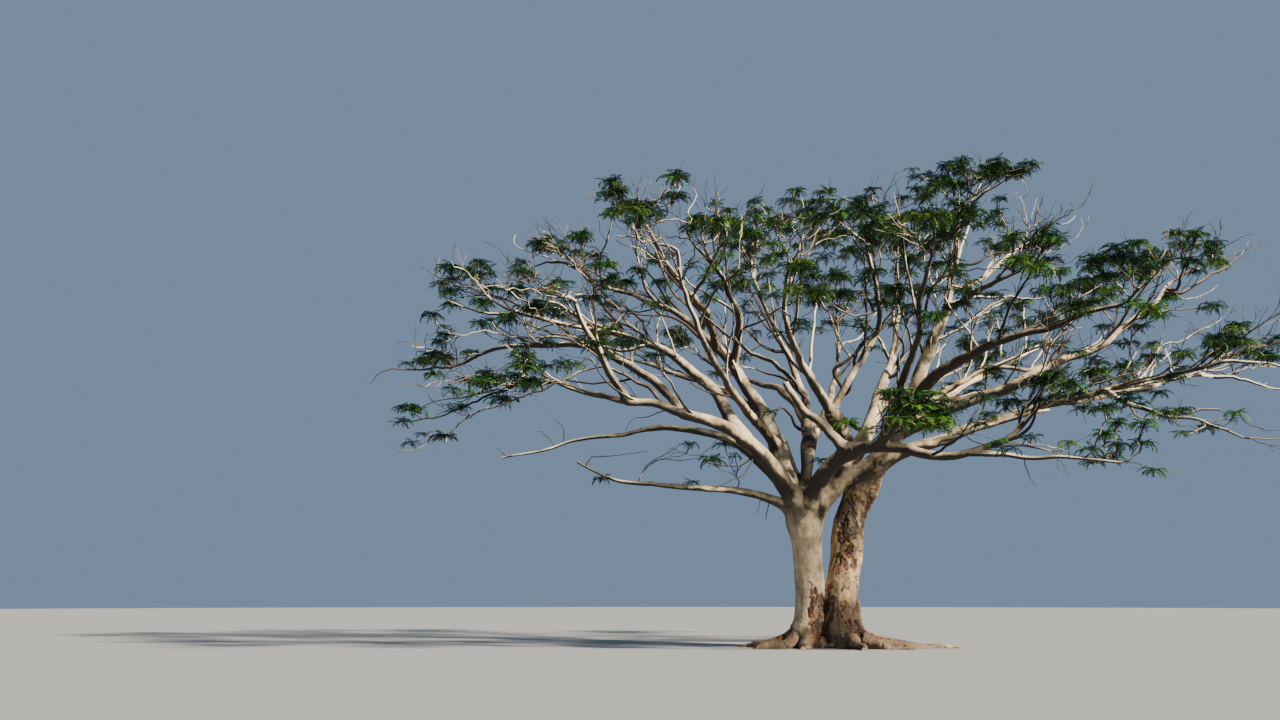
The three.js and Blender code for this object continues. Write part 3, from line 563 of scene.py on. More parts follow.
# Boughs that show besides the limbs: the limb that carries each, its line in the frame, how far it
# goes back, its radius in millimetres at foot and tip, and its tint
SEEN_BOUGHS = [
    ("left_mid", [(518, 313), (500, 316), (480, 313), (462, 307), (446, 300)], 0.1, 42, 16, PALE),
    ("left_mid", [(592, 328), (570, 308), (553, 299), (535, 303), (520, 298), (508, 286)],
     -0.4, 40, 14, PALE),
    ("left_mid", [(516, 313), (500, 299), (480, 295), (460, 290), (440, 288), (432, 281), (436, 270),
                  (433, 260)], 0.3, 24, 6, BROWN),
    ("left_mid", [(650, 342), (620, 350), (590, 343), (560, 338), (530, 338), (505, 334), (480, 331),
                  (468, 335), (446, 343)], -0.6, 45, 9, PALE),
    ("left_high", [(600, 284), (580, 270), (563, 262), (545, 262), (530, 268)], -0.3, 46, 14, BROWN),
    ("left_high", [(582, 272), (560, 262), (545, 256), (530, 249), (516, 240), (517, 232)], 0.2, 22, 6, PALE),
    ("left_high", [(606, 289), (575, 300), (565, 290), (552, 282), (535, 275), (525, 270)],
     -0.9, 30, 9, PALE),
    ("left_high", [(560, 282), (520, 285), (517, 270), (510, 258), (498, 247), (484, 240)],
     0.3, 14, 6, BROWN),
    ("left_broad", [(620, 400), (585, 390), (560, 382), (545, 375), (530, 365), (515, 355), (508, 346)],
     -0.5, 36, 8, PALE),
    ("left_broad", [(553, 381), (530, 385), (510, 386), (490, 386), (476, 384)], 0.2, 42, 14, PALE),
    ("left_broad", [(556, 382), (540, 385), (515, 388), (495, 395), (480, 402), (460, 409), (440, 418),
                    (420, 421), (388, 421)], 0.4, 36, 8, BROWN),
    ("left_broad", [(556, 382), (548, 388), (530, 395), (510, 402), (485, 412), (465, 420), (448, 431),
                    (430, 441), (420, 448), (396, 455)], -0.5, 28, 6, PALE),
    ("left_broad", [(540, 384), (515, 388), (490, 393), (470, 397), (445, 402), (420, 408)],
     0.8, 20, 7, BROWN),
    ("left_long", [(467, 361), (450, 366), (430, 368), (405, 370), (390, 371), (378, 376), (370, 385)],
     0.1, 40, 6, GREY),
    ("left_top", [(690, 270), (678, 252), (668, 247), (650, 243), (632, 239), (618, 238)],
     -0.4, 42, 11, PALE),
    ("left_top", [(646, 232), (655, 223), (668, 216), (664, 205), (663, 190)], 0.1, 22, 6, BROWN),
    ("left_top", [(650, 246), (643, 245), (634, 232), (622, 222), (610, 214)], -0.3, 30, 10, GREY),
    ("left_top", [(652, 224), (672, 221), (692, 222), (688, 213), (692, 204), (697, 198), (696, 188),
                  (686, 181)], 0.2, 15, 5, PALE),
    ("up_left", [(712, 268), (700, 250), (690, 236), (684, 226)], -0.5, 40, 14, GREY),
    ("up_mid", [(751, 262), (745, 225), (748, 210), (755, 198), (762, 193), (767, 182)], 0.3, 24, 5, BROWN),
    ("up_mid", [(748, 232), (742, 212), (730, 207), (717, 200), (718, 192)], -0.3, 12, 5, GREY),
    ("up_mid", [(752, 285), (775, 250), (780, 228), (783, 215), (782, 205), (786, 192)], -0.4, 26, 5, PALE),
    ("up_centre", [(784, 296), (795, 268), (800, 240), (805, 212), (803, 198)], 0.5, 28, 5, PALE),
    ("up_fork", [(869, 256), (858, 245), (853, 236), (852, 222), (855, 210), (850, 202), (846, 197)],
     0.2, 34, 8, PALE),
    ("up_fork", [(868, 252), (874, 230), (873, 215), (878, 203), (882, 195), (878, 184)], -0.3, 24, 5, BROWN),
    ("up_fork", [(872, 262), (886, 238), (893, 215), (898, 198), (896, 185), (894, 176)], 0.6, 26, 5, BROWN),
    ("up_fork", [(878, 205), (872, 194), (860, 185)], 0.2, 12, 5, GREY),
    ("leader", [(963, 222), (975, 200), (985, 192), (1000, 183), (1016, 175)], -0.3, 34, 11, BROWN),
    ("leader", [(962, 218), (952, 203), (942, 190), (936, 182)], 0.3, 36, 12, PALE),
    ("leader", [(953, 306), (965, 300), (985, 297), (1010, 296), (1028, 300), (1045, 300)],
     0.5, 40, 14, PALE),
    ("leader", [(957, 288), (951, 270), (944, 258), (938, 245)], -0.5, 36, 14, PALE),
    ("leader", [(930, 404), (950, 399), (975, 393), (1000, 390), (1025, 385), (1045, 378)],
     0.5, 60, 26, PALE),
    ("leader", [(935, 392), (965, 380), (985, 368), (1005, 366), (1030, 370), (1050, 362), (1072, 358),
                (1090, 351), (1110, 340), (1122, 328), (1128, 312)], 1.2, 64, 18, PALE),
    ("top_right", [(1018, 250), (1030, 245), (1040, 235), (1048, 226), (1058, 220), (1070, 212), (1083, 203)],
     0.2, 42, 5, BROWN),
    ("top_right", [(1018, 249), (1050, 226), (1062, 225), (1068, 224), (1075, 218)], 0.5, 12, 5, PALE),
    ("top_right", [(1015, 251), (1012, 232), (1013, 215)], -0.3, 14, 5, BROWN),
    ("top_right", [(1020, 250), (1028, 225), (1032, 212), (1036, 197)], 0.1, 15, 5, PALE),
    ("top_right", [(1020, 250), (1040, 232), (1050, 212), (1055, 202)], -0.2, 12, 4, PALE),
    ("right_mid", [(1165, 288), (1180, 288), (1183, 275), (1183, 258), (1184, 248)], -0.3, 42, 14, GREY),
    ("right_mid", [(1160, 292), (1185, 290), (1200, 282), (1212, 274), (1225, 268), (1235, 258), (1245, 245),
                   (1247, 240)], 0.3, 42, 9, GREY),
    ("right_mid", [(1172, 290), (1185, 297), (1208, 294), (1218, 287), (1222, 283)], 0.1, 12, 6, PALE),
    ("right_mid", [(1130, 322), (1158, 312), (1180, 309), (1205, 309)], -0.2, 26, 9, GREY),
    ("right_long", [(1130, 388), (1150, 362), (1165, 345), (1180, 340), (1195, 330), (1210, 324),
                    (1225, 318)], 0.6, 26, 6, PALE),
    ("right_long", [(1205, 370), (1225, 362), (1250, 363), (1268, 365), (1290, 369)], -0.2, 44, 16, PALE),
    ("right_back", [(1212, 378), (1240, 378), (1260, 383), (1285, 387)], 0.1, 44, 16, PALE),
    ("right_dead", [(1162, 413), (1185, 411), (1200, 410), (1220, 411)], 0.1, 30, 20, GREY),
    ("right_dead", [(1222, 431), (1240, 438), (1260, 440), (1282, 440)], -0.1, 25, 8, GREY),
    ("right_dead", [(1220, 431), (1240, 418), (1252, 426), (1265, 430)], 0.2, 10, 5, BROWN),
    ("low_front", [(1044, 407), (1060, 402), (1075, 403), (1088, 412), (1091, 423)], -0.2, 16, 6, BROWN),
    ("low_front", [(902, 450), (925, 443), (950, 435), (975, 430), (1000, 422), (1030, 411), (1048, 409)],
     0.5, 66, 40, GREY),
    ("low_pale", [(1022, 463), (1025, 472), (1030, 480), (1036, 485)], 0.0, 10, 5, BROWN),
    ("low_front", [(976, 446), (1000, 446), (1030, 448), (1060, 451), (1075, 458)], 0.4, 14, 6, PALE),
    ("low_front", [(1104, 458), (1118, 461), (1134, 464), (1148, 469)], 0.1, 11, 5, BROWN),
    ("low_front", [(850, 452), (834, 438), (819, 420), (806, 413), (796, 401), (784, 384)],
     -0.2, 110, 60, PALE),
    ("up_mid", [(808, 396), (790, 382), (764, 373), (750, 367), (738, 366)], -0.9, 40, 11, PALE),
    ("up_mid", [(811, 432), (797, 428), (790, 415), (782, 408), (772, 420)], -0.7, 40, 18, BROWN),
    ("up_mid", [(757, 318), (775, 312), (794, 302), (802, 297)], -0.4, 32, 16, PALE),
    ("left_dead", [(553, 446), (549, 440), (543, 433), (538, 432)], 0.1, 11, 5, BROWN),
    ("left_dead", [(566, 445), (565, 434), (560, 426), (554, 420)], -0.1, 11, 5, BROWN),
    ("left_dead", [(508, 457), (500, 451), (494, 445)], 0.1, 14, 6, GREY),
    ("left_broad", [(680, 410), (660, 411), (648, 417), (633, 417), (627, 422), (624, 430)],
     -0.3, 13, 5, BROWN),
    ("left_low", [(586, 466), (592, 458), (610, 457), (630, 454), (648, 451)], 0.1, 11, 5, BROWN),
    ("left_low", [(640, 480), (648, 470), (660, 462), (680, 462), (700, 461)], 0.2, 14, 6, BROWN),
    ("left_low", [(640, 480), (648, 468), (662, 458), (678, 454)], 0.0, 12, 5, GREY),
    ("left_low", [(605, 474), (612, 480), (620, 484)], -0.1, 9, 5, BROWN),
    ("left_broad", [(757, 455), (740, 466), (722, 466), (706, 463)], -0.3, 20, 9, BROWN),
    ("left_broad", [(757, 455), (745, 473), (730, 482), (718, 488)], -0.6, 18, 7, BROWN),
    ("left_dead", [(735, 446), (715, 440), (708, 450), (695, 455), (680, 452), (667, 448)],
     -0.3, 15, 5, BROWN),
    ("left_low", [(770, 490), (768, 505), (766, 520)], -0.1, 12, 7, BROWN),
    ("left_low", [(764, 490), (760, 500), (757, 514)], -0.2, 10, 6, BROWN),
    ("left_broad", [(665, 400), (646, 387), (620, 373), (608, 365), (595, 352), (577, 341), (559, 325)],
     0.5, 44, 12, GREY),
    ("left_broad", [(612, 368), (602, 366), (590, 368), (576, 372), (562, 379), (544, 382), (518, 386),
                    (500, 386)], -0.3, 26, 9, PALE),
    ("left_broad", [(640, 381), (633, 379), (615, 382), (595, 382), (562, 379)], 0.2, 26, 13, BROWN),
    ("left_mid", [(546, 350), (528, 345), (512, 342), (499, 338), (480, 332)], 0.1, 14, 6, BROWN),
    ("left_high", [(562, 300), (546, 295), (535, 287), (522, 281), (507, 276), (498, 268)],
     0.2, 16, 6, BROWN),
    ("left_mid", [(558, 328), (555, 313), (555, 301), (552, 290)], 0.0, 20, 10, BROWN),
    ("left_mid", [(582, 316), (569, 310), (556, 305), (548, 298)], 0.1, 22, 10, PALE),
    ("left_mid", [(648, 344), (633, 338), (614, 331), (601, 324), (588, 318), (580, 311)],
     -0.5, 50, 24, PALE),
    ("left_mid", [(652, 341), (638, 332), (623, 324), (609, 319), (600, 313)], 0.4, 36, 12, BROWN),
    ("left_mid", [(637, 332), (628, 324), (622, 317), (615, 306), (605, 298), (598, 290)], 0.2, 28, 9, GREY),
    ("left_mid", [(658, 350), (648, 340), (643, 328), (639, 318), (629, 312), (624, 306)],
     0.6, 36, 22, BROWN),
    ("left_high", [(660, 309), (646, 310), (620, 310), (596, 309), (586, 305)], 0.2, 18, 8, BROWN),
    ("up_left", [(742, 327), (734, 314), (723, 304), (714, 298), (704, 291), (691, 286), (678, 271)],
     0.3, 36, 14, PALE),
    ("up_mid", [(799, 391), (793, 380), (780, 370), (768, 361), (748, 351), (738, 343), (727, 336),
                (713, 324), (700, 312), (690, 300)], -0.6, 54, 22, PALE),
    ("up_mid", [(792, 356), (784, 352), (768, 348), (755, 338), (746, 328), (738, 318)], 0.4, 44, 16, GREY),
    ("up_mid", [(737, 343), (740, 330), (749, 325), (765, 318)], 0.2, 28, 18, BROWN),
    ("up_centre", [(816, 368), (812, 345), (814, 330), (815, 319), (815, 303), (812, 290)],
     0.6, 32, 14, PALE),
    ("up_fork", [(826, 382), (833, 370), (845, 361), (854, 351), (861, 342), (871, 335), (882, 327),
                 (888, 318), (901, 311), (912, 305)], 0.5, 46, 16, BROWN),
    ("up_back", [(846, 426), (838, 411), (839, 400), (849, 390), (852, 378), (855, 364), (857, 350),
                 (864, 340)], -0.6, 50, 30, BROWN),
    ("up_back", [(894, 363), (889, 355), (884, 345), (876, 334), (868, 324)], 0.3, 42, 22, PALE),
    ("up_back", [(898, 386), (899, 376), (902, 364), (906, 352), (902, 342), (896, 332), (891, 322)],
     -0.4, 40, 18, BROWN),
    ("right_high", [(976, 340), (962, 324), (953, 314), (944, 300)], 0.3, 28, 14, PALE),
    ("leader", [(944, 345), (959, 331), (972, 319), (985, 312), (1000, 303), (1014, 297)], 0.5, 34, 14, PALE),
    ("leader", [(921, 372), (926, 355), (930, 342), (934, 330)], 0.4, 34, 16, PALE),
    ("leader", [(925, 352), (919, 332), (920, 319), (918, 305), (914, 292)], -0.4, 26, 9, PALE),
    ("leader", [(970, 266), (979, 260), (989, 255), (1000, 252), (1018, 249)], 0.3, 36, 16, BROWN),
    ("leader", [(978, 316), (991, 305), (1009, 297), (1020, 290)], 0.2, 24, 9, PALE),
    ("up_fork", [(866, 324), (848, 324), (832, 322), (823, 317)], -0.2, 16, 7, BROWN),
    ("up_fork", [(868, 310), (855, 314), (842, 309), (831, 303), (822, 296)], -0.3, 24, 8, PALE),
    ("up_fork", [(838, 346), (837, 336), (834, 324), (832, 312), (825, 303), (820, 292)], 0.3, 26, 8, PALE),
    ("up_fork", [(880, 286), (880, 268), (882, 253), (884, 238), (888, 225)], 0.2, 28, 8, BROWN),
    ("up_fork", [(868, 306), (865, 285), (866, 268), (864, 255), (860, 243)], -0.4, 28, 9, GREY),
    ("leader", [(985, 372), (1009, 358), (1028, 350), (1053, 343), (1066, 333), (1081, 329)],
     0.3, 42, 10, PALE),
    ("right_long", [(1100, 392), (1144, 387), (1171, 381), (1196, 375), (1215, 371), (1230, 366)],
     0.4, 34, 12, PALE),
    ("right_mid", [(1131, 320), (1131, 335), (1130, 350), (1128, 362)], -0.1, 14, 7, BROWN),
    ("right_long", [(1128, 376), (1130, 350), (1133, 337), (1143, 326), (1156, 320), (1166, 312)],
     -0.2, 20, 6, BROWN),
    ("low_front", [(987, 448), (1009, 442), (1026, 433), (1037, 421), (1038, 412)], -0.3, 42, 22, BROWN),
    ("right_dead", [(1128, 404), (1139, 417), (1152, 421), (1171, 421)], 0.1, 20, 7, GREY),
]

HALF_DECIMETRE = 2.6            # pixels that half a decimetre takes up at the crown
LEAF_MARGIN = 6                 # how far past a clump that shows other leaves may show, in pixels
EDGE_MARGIN = 14                # leaves this near the right edge of the frame, or past it, may show

seen_places = np.array([row[:2] for rows in SEEN_CLUMPS.values() for row in rows], float)
seen_width = np.array([row[2] for rows in SEEN_CLUMPS.values() for row in rows])
seen_reach = seen_width * HALF_DECIMETRE + LEAF_MARGIN


def leafy(point, spare=1.0):
    """Whether leaves at this point show where the frame has leaves, or lie past its edge."""
    place = in_frame(point)[0]
    if place[0] > FRAME_WIDTH - EDGE_MARGIN:
        return True
    gaps = np.linalg.norm((seen_places - place) * (1, 1.25), axis=1)
    return bool(np.any(gaps < seen_reach * spare))


# Boxes of the frame that are full of bare boughs, and windows that stay clear of leaves and twigs,
# each with its left, top, right and bottom edge
BARE_WOOD = [(560, 285, 800, 405), (830, 280, 1000, 440), (1000, 300, 1210, 425), (470, 300, 560, 345)]
WINDOWS = [
    (480, 404, 705, 440), (742, 368, 786, 424), (690, 318, 722, 372), (814, 428, 842, 462),
    (852, 454, 868, 476), (858, 352, 888, 388), (904, 356, 928, 378), (520, 180, 600, 236),
    (655, 224, 702, 246), (1058, 205, 1094, 252), (1188, 284, 1232, 330), (1094, 282, 1150, 296),
]


# Parts of the frame that are full of small clumps: left, top, right and bottom edge, gap between
# clumps, their width in decimetres, and their shine, which paints light and shade on their leaves
FILLED = [
    (598, 329, 652, 367, 17, 3, DARK), (553, 303, 617, 346, 18, 3, DARK),
    (706, 244, 777, 303, 16, 4, MIDDLING), (751, 303, 796, 348, 18, 3, DARK),
    (776, 250, 846, 300, 17, 4, MIDDLING), (799, 186, 875, 250, 18, 4, DARK),
    (844, 205, 958, 330, 15, 4, DARK), (876, 303, 978, 362, 17, 3, DARK),
    (958, 226, 1054, 325, 18, 4, DARK), (1048, 278, 1178, 326, 16, 4, MIDDLING),
    (978, 326, 1099, 362, 18, 3, DARK), (958, 364, 1112, 410, 16, 4, DARK),
    (1112, 334, 1195, 412, 18, 4, DARK), (680, 340, 745, 380, 20, 3, DARK),
    (620, 268, 700, 322, 20, 3, DARK), (800, 300, 880, 345, 19, 3, DARK),
    (500, 300, 580, 350, 20, 3, DARK),
]
FILL_GAPS = 0.25                # share of their places that are left open
ECHO_REACH = 1.3                # how near wood is that another clump behind or in front grows from
ECHO_SHARE = 0.6                # how many of the clumps that show have such another one
NEARBY = 26                     # how near wood shows that a small clump may grow from, in pixels


def in_window(point):
    """Whether a point shows in one of the windows of the crown."""
    across, down = in_frame(point)[0]
    return any(left < across < right and top < down < bottom for left, top, right, bottom in WINDOWS)


def woody(point, spare=1.2):
    """Whether a bare bough at this point shows where the frame has wood or leaves."""
    across, down = in_frame(point)[0]
    if in_window(point):
        return False
    held = any(left < across < right and top < down < bottom for left, top, right, bottom in BARE_WOOD)
    return held or leafy(point, spare)


# Noise, for the bark's relief and the wood's kinks

def scatter(cells, seed):
    """A number between 0 and 1 for each whole-numbered cell."""
    stirred = (cells[..., 0] * 73856093) ^ (cells[..., 1] * 19349663) ^ (cells[..., 2] * 83492791)
    stirred = (stirred ^ (seed * 2654435761)) & MASK
    stirred = ((stirred ^ (stirred >> 13)) * 1274126177) & MASK
    stirred = ((stirred ^ (stirred >> 15)) * 668265263) & MASK
    return (stirred ^ (stirred >> 16)) / 4294967296


def noise(points, size, seed):
    """Soft noise between -1 and 1, with hills about one size across."""
    places = points / size
    cells = np.floor(places).astype(np.int64)
    weights = places - cells
    weights = weights * weights * (3 - 2 * weights)
    total = np.zeros(len(points))
    for corner in np.ndindex(2, 2, 2):
        part = scatter(cells + np.array(corner), seed)
        total += part * np.prod(np.where(corner, weights, 1 - weights), axis=1)
    return 2 * total - 1


def ramp(values, low, high):
    """Values eased from 0 at low to 1 at high."""
    share = np.clip((values - low) / (high - low), 0, 1)
    return share * share * (3 - 2 * share)


def swayed(places):
    """Places moved by a field of kinks that takes everything near a place along with it."""
    places = np.atleast_2d(places)
    away = ramp(np.linalg.norm(places - np.array(HEART), axis=1), HEART_REACH - 0.5, HEART_REACH + 1.2)
    wide = np.stack([noise(places, 0.85, 110 + k) for k in range(3)], axis=1)
    tight = np.stack([noise(places, 0.34, 120 + k) for k in range(3)], axis=1)
    return places + (wide + 0.4 * tight) * SWAY * away[:, None]


# Boughs, twigs and sprays

boughs = []      # wood of the crown that is thinner than a limb
twigs = []       # the finest wood, at the sprays and on the dead ends
sprays = []      # where leaves grow: place, heading, size and tint


def turned(heading, angle):
    """A heading turned about the upright."""
    cos, sin = math.cos(angle), math.sin(angle)
    return np.array([heading[0] * cos - heading[1] * sin, heading[0] * sin + heading[1] * cos, heading[2]])


def wander(start, heading, length, random, rise=0.04, crook=0.3, step=0.11):
    """A crooked line that sets out along a heading and slowly turns upwards."""
    count = max(3, round(length / step))
    points = [start]
    for _ in range(count):
        jolt = np.array([next(random), next(random), next(random)]) - 0.5
        heading = unit(heading + crook * jolt + rise * UP)
        points.append(points[-1] + heading * length / count)
    return np.array(points)


def taper(count, foot, tip, power=0.9):
    shares = np.linspace(0, 1, count)
    return tip + (foot - tip) * (1 - shares) ** power


def bare_twig(start, heading, length, radius, random, tint, depth=2):
    """A dead twig that forks a time or two."""
    line = wander(start, heading, length, random, rise=0.05, crook=0.7, step=0.1)
    if not in_box(line[-1]):
        return
    twigs.append(Wood(line, taper(len(line), radius, BARE_TIP), tint))
    if depth == 0:
        return
    for _ in range(1 + int(2 * next(random))):
        place = int((0.35 + 0.5 * next(random)) * (len(line) - 1))
        swing = (0.5 + 0.5 * next(random)) * (1 if next(random) > 0.5 else -1)
        aim = unit(turned(unit(line[place + 1] - line[place]), swing) + UP * 0.5 * (next(random) - 0.4))
        shorter = length * (0.4 + 0.3 * next(random))
        bare_twig(line[place], aim, shorter, radius * 0.65, random, tint, depth - 1)


# Points of all the wood that boughs can grow from, with the heading and radius there
carriers = []


def remember(wood, first=0):
    if len(wood.line) > first + 1:
        carriers.append((wood.line[first:], tangents(wood.line)[first:], wood.radius[first:]))


def best_foot(goal):
    """The point of the wood that a bough to the goal would grow from."""
    places, headings, radii = (np.concatenate(part) for part in zip(*carriers))
    offsets = goal - places
    gaps = np.linalg.norm(offsets, axis=1)
    turning = np.sum(offsets * headings, axis=1) / np.maximum(gaps, 1e-6)
    cost = gaps * (1.7 - 0.7 * turning) + np.where(radii < 0.011, 0.5, 0) + np.where(gaps < 0.22, 0.6, 0)
    best = int(np.argmin(cost))
    return places[best], headings[best], radii[best]


def grow_to(goal, random, tint):
    """A bough from the best point of the wood to a goal, where it turns upwards."""
    foot, heading, radius = best_foot(goal)
    run = goal - foot
    gap = np.linalg.norm(run)
    inner = foot + (heading * 0.6 + unit(run) * 0.4) * gap * 0.36
    outer = goal - (unit(run) * 0.75 + UP * 0.35) * gap * 0.33
    line = even_line(bezier([foot, inner, outer, goal], np.linspace(0, 1, 14)), 0.12)
    for point in line[1:-1]:
        point += (np.array([next(random), next(random), next(random)]) - 0.5) * min(0.09, 0.12 * gap)
    thick = min(0.6 * radius, 0.008 + 0.01 * gap)
    wood = Wood(line, taper(len(line), thick, BOUGH_TIP), tint)
    boughs.append(wood)
    remember(wood, 2)
    return wood


def clump(place, heading, size, random, shine):
    """A flat-topped clump: short twigs that fan out from the bough's end, with a spray at each."""
    count = max(1, round(1 + 11.5 * size * size + 0.6 * (next(random) - 0.5)))
    spread = max(0.0, size / 2 - 0.19)
    scale = min(1, 0.6 + 0.8 * size)
    for i in range(count):
        around = i * TURN + next(random)
        out = 0 if count == 1 else spread * math.sqrt((i + 0.3) / count)
        rise = 0.12 * size - 0.36 * out * out / max(spread, 0.1) + 0.09 * (next(random) - 0.5)
        goal = place + np.array([math.cos(around), math.sin(around), 0]) * out + UP * rise
        foot = place - heading * 0.3 * size * (0.6 + 0.6 * next(random)) - UP * 0.06
        if not in_box(goal):
            continue
        middle = (foot + goal) / 2 + np.array([next(random) - 0.5, next(random) - 0.5, 0.3]) * 0.07
        line = even_line(bezier([foot, middle, goal], np.linspace(0, 1, 6)), 0.08)
        twigs.append(Wood(line, taper(len(line), *SPRAY_TWIG), BROWN))
        length = scale * (0.82 + 0.36 * next(random))
        sprays.append((goal, unit(goal - foot + UP * 0.1), length, next(random), shine))


def mass_stem(mass, order):
    """The short stem of a mass, on from its limb's tip, and the control points that it follows."""
    hub = mass.tip + (mass.centre - mass.tip) * 0.62
    bend = mass.tip + mass.end * 0.4 * np.linalg.norm(hub - mass.tip)
    stem = [mass.tip, bend, hub]
    line = even_line(bezier(stem, np.linspace(0, 1, 20)))
    line = np.vstack([mass.tip - mass.end * 0.2, line])
    wood = Wood(line, taper(len(line), LIMBS[mass.name][5][1] * 0.74, STEM_END * 0.36), order % 3)
    boughs.append(wood)
    remember(wood, 2)
    return stem


def mass_twig(mass, stem, around, out, random, fine):
    """One fanned twig of a mass, or nothing where a neighbour's space begins."""
    goal = mass.centre + mass.axes[0] * out * mass.half[0] * math.cos(around)
    goal = goal + mass.axes[1] * out * mass.half[1] * math.sin(around)
    goal = goal + UP * mass.half[2] * (0.62 * math.sqrt(1 - out * out) - 0.45 + 0.35 * next(random))
    foot = bezier(stem, [0.45 + 0.5 * next(random)])[0]
    if not mass.holds(goal):
        return None
    middle = (foot + goal) / 2 + UP * 0.12 * np.linalg.norm(goal - foot)
    line = even_line(bezier([foot, middle, goal], np.linspace(0, 1, 16)), 0.12)
    for point in line[1:-1]:
        point += (np.array([next(fine), next(fine), next(fine)]) - 0.5) * 0.09
    wood = Wood(line, taper(len(line), TWIG_RADIUS[0] * 0.45, 0.008), int(3 * next(fine)))
    boughs.append(wood)
    remember(wood, 2)
    return wood


def mass_clumps(mass, wood, leaf_random, fine):
    """A clump or a dead twig at each place of a twig where the solids have a blade."""
    keep = 0.45 if len(SEEN_CLUMPS.get(mass.name, ())) > 4 else 0.9
    for share, turn in LEAF_SPOTS:
        start, heading, radius = wood.at(share)
        direction = unit(heading * (1, 1, 0.4))
        direction = turned(direction, turn + 0.5 * (next(leaf_random) - 0.5))
        length = 0.8 + 0.35 * next(leaf_random)
        next(leaf_random)       # the roll of a blade in the solids, which has no use here
        side = wander(start, unit(direction + UP * 0.15), length * 0.5, fine, crook=0.4)
        shine = (DARK, DARK, DARK, DARK, MIDDLING)[int(5 * next(fine))]
        size = 0.3 + 0.35 * next(fine)
        if mass.holds(side[-1], 1.1) and leafy(side[-1], 0.9) and next(fine) < keep:
            if share < 1:
                twigs.append(Wood(side, taper(len(side), radius * 0.8, 0.008), wood.tint))
            clump(side[-1], unit(side[-1] - side[-2]), size, fine, shine)
        elif next(fine) < 0.4:
            bare_twig(start, direction, length * 0.6, 0.008, fine, wood.tint, 1)


def grow_mass(mass, order):
    """A short stem and its fanned twigs, with finer twigs where the solids have their blades."""
    random = dice(500 + order)
    leaf_random = dice(900 + order)
    fine = dice(1300 + order)
    stem = mass_stem(mass, order)
    count = max(4, math.floor(mass.half[0] * mass.half[1] * math.pi / TWIG_SPACING ** 2 + 0.5))
    for i in range(count):
        around = i * TURN + 0.5 * (next(random) - 0.5) + order
        wood = mass_twig(mass, stem, around, 0.72 * math.sqrt((i + 0.6) / count), random, fine)
        if wood is None:
            continue
        mass_clumps(mass, wood, leaf_random, fine)
        for _ in range(2 if wood.line[-1][2] > mass.centre[2] - 0.1 else 0):
            place, heading, _ = wood.at(0.5 + 0.5 * next(fine))
            aim = turned(heading, 3 * (next(fine) - 0.5)) * (1, 1, 0.3) + UP * (0.4 + 0.8 * next(fine))
            tint = BROWN if next(fine) < 0.75 else GREY
            bare_twig(place, unit(aim), 0.3 + 0.35 * next(fine), 0.006, fine, tint)


def grow_seen_bough(row, order):
    """One of the boughs that show: it starts on its limb and follows its line in the frame."""
    carrier, points, back, foot, tip, tint = row
    known = np.concatenate([limbs[carrier].line, *seen_wood.get(carrier, ())])
    random = dice(3100 + order)
    start = known[int(np.argmin(np.linalg.norm(in_frame(known) - points[0], axis=1)))]
    line = [start]
    for i, (across, down) in enumerate(points[1:], 1):
        line.append(seen_at(across, down, start[1] + back * i / (len(points) - 1)))
    line = smooth_line(line, 0.12)
    for point in line[1:-1]:
        point += (np.array([next(random), next(random), next(random)]) - 0.5) * 0.03
    wood = Wood(line, taper(len(line), foot / 1000, tip / 1000, 1.1), tint)
    seen_wood.setdefault(carrier, []).append(line[1:])
    if foot / 1000 >= THICK_BOUGH:
        seen_thick.append((carrier, wood))
    else:
        boughs.append(wood)
    remember(wood, 3)
    for _ in range(int(len(line) / 9)):
        place, heading, radius = wood.at(0.3 + 0.65 * next(random))
        way = unit(turned(heading, 1.8 * (next(random) - 0.5)) + UP * 0.5 * (next(random) - 0.2))
        if leafy(place + way * 0.5, 1.3):
            shade = tint if next(random) < 0.35 else BROWN
            bare_twig(place, way, 0.3 + 0.4 * next(random), min(0.009, radius * 0.6), random, shade, 1)


def grow_seen_clumps():
    """The clumps that show, the furthest from any wood first."""
    wanted = []
    random = dice(4100)
    centres = {mass.name: mass for mass in masses}
    for owner, rows in SEEN_CLUMPS.items():
        mass = centres[owner]
        for across, down, width, shine in rows:
            depth = mass.centre[1] + 1.1 * mass.half[1] * (next(random) - 0.5)
            if owner == "front_left" and down > LOW_EDGE:
                depth = LOW_DEPTH
            goal = seen_at(across, down, depth)
            wanted.append((goal, width / 10, shine))
    places = np.concatenate([part[0] for part in carriers])
    wanted.sort(key=lambda row: -float(np.min(np.linalg.norm(places - row[0], axis=1))))
    for goal, size, shine in wanted:
        if not in_box(goal):
            continue
        wood = grow_to(goal - UP * 0.1 * size, random, foliage_tint(random))
        clump(goal, unit(wood.line[-1] - wood.line[-2]), size, random, shine)
    for goal, size, shine in wanted:
        echo(goal, size, random, shine)


def foliage_tint(random):
    """The tint of a bough among the leaves: seldom pale."""
    return (BROWN, BROWN, GREY, PALE)[int(4 * next(random))]


def echo(goal, size, random, shine):
    """Another clump behind or in front of one that shows, so that the crown is full from all sides."""
    across, down = in_frame(goal)[0]
    draw = next(random)
    if down > LOW_EDGE or draw > ECHO_SHARE:
        return
    depth = goal[1] + (1.0 + 1.4 * next(random)) * (-1 if draw < 0.4 * ECHO_SHARE else 1)
    places = np.concatenate([part[0] for part in carriers])
    spot = seen_at(across, down, depth)
    if not in_box(spot) or np.min(np.linalg.norm(places - spot, axis=1)) > ECHO_REACH:
        return
    wood = grow_to(spot - UP * 0.1 * size, random, foliage_tint(random))
    clump(spot, unit(wood.line[-1] - wood.line[-2]), 0.75 * size, random, shine)


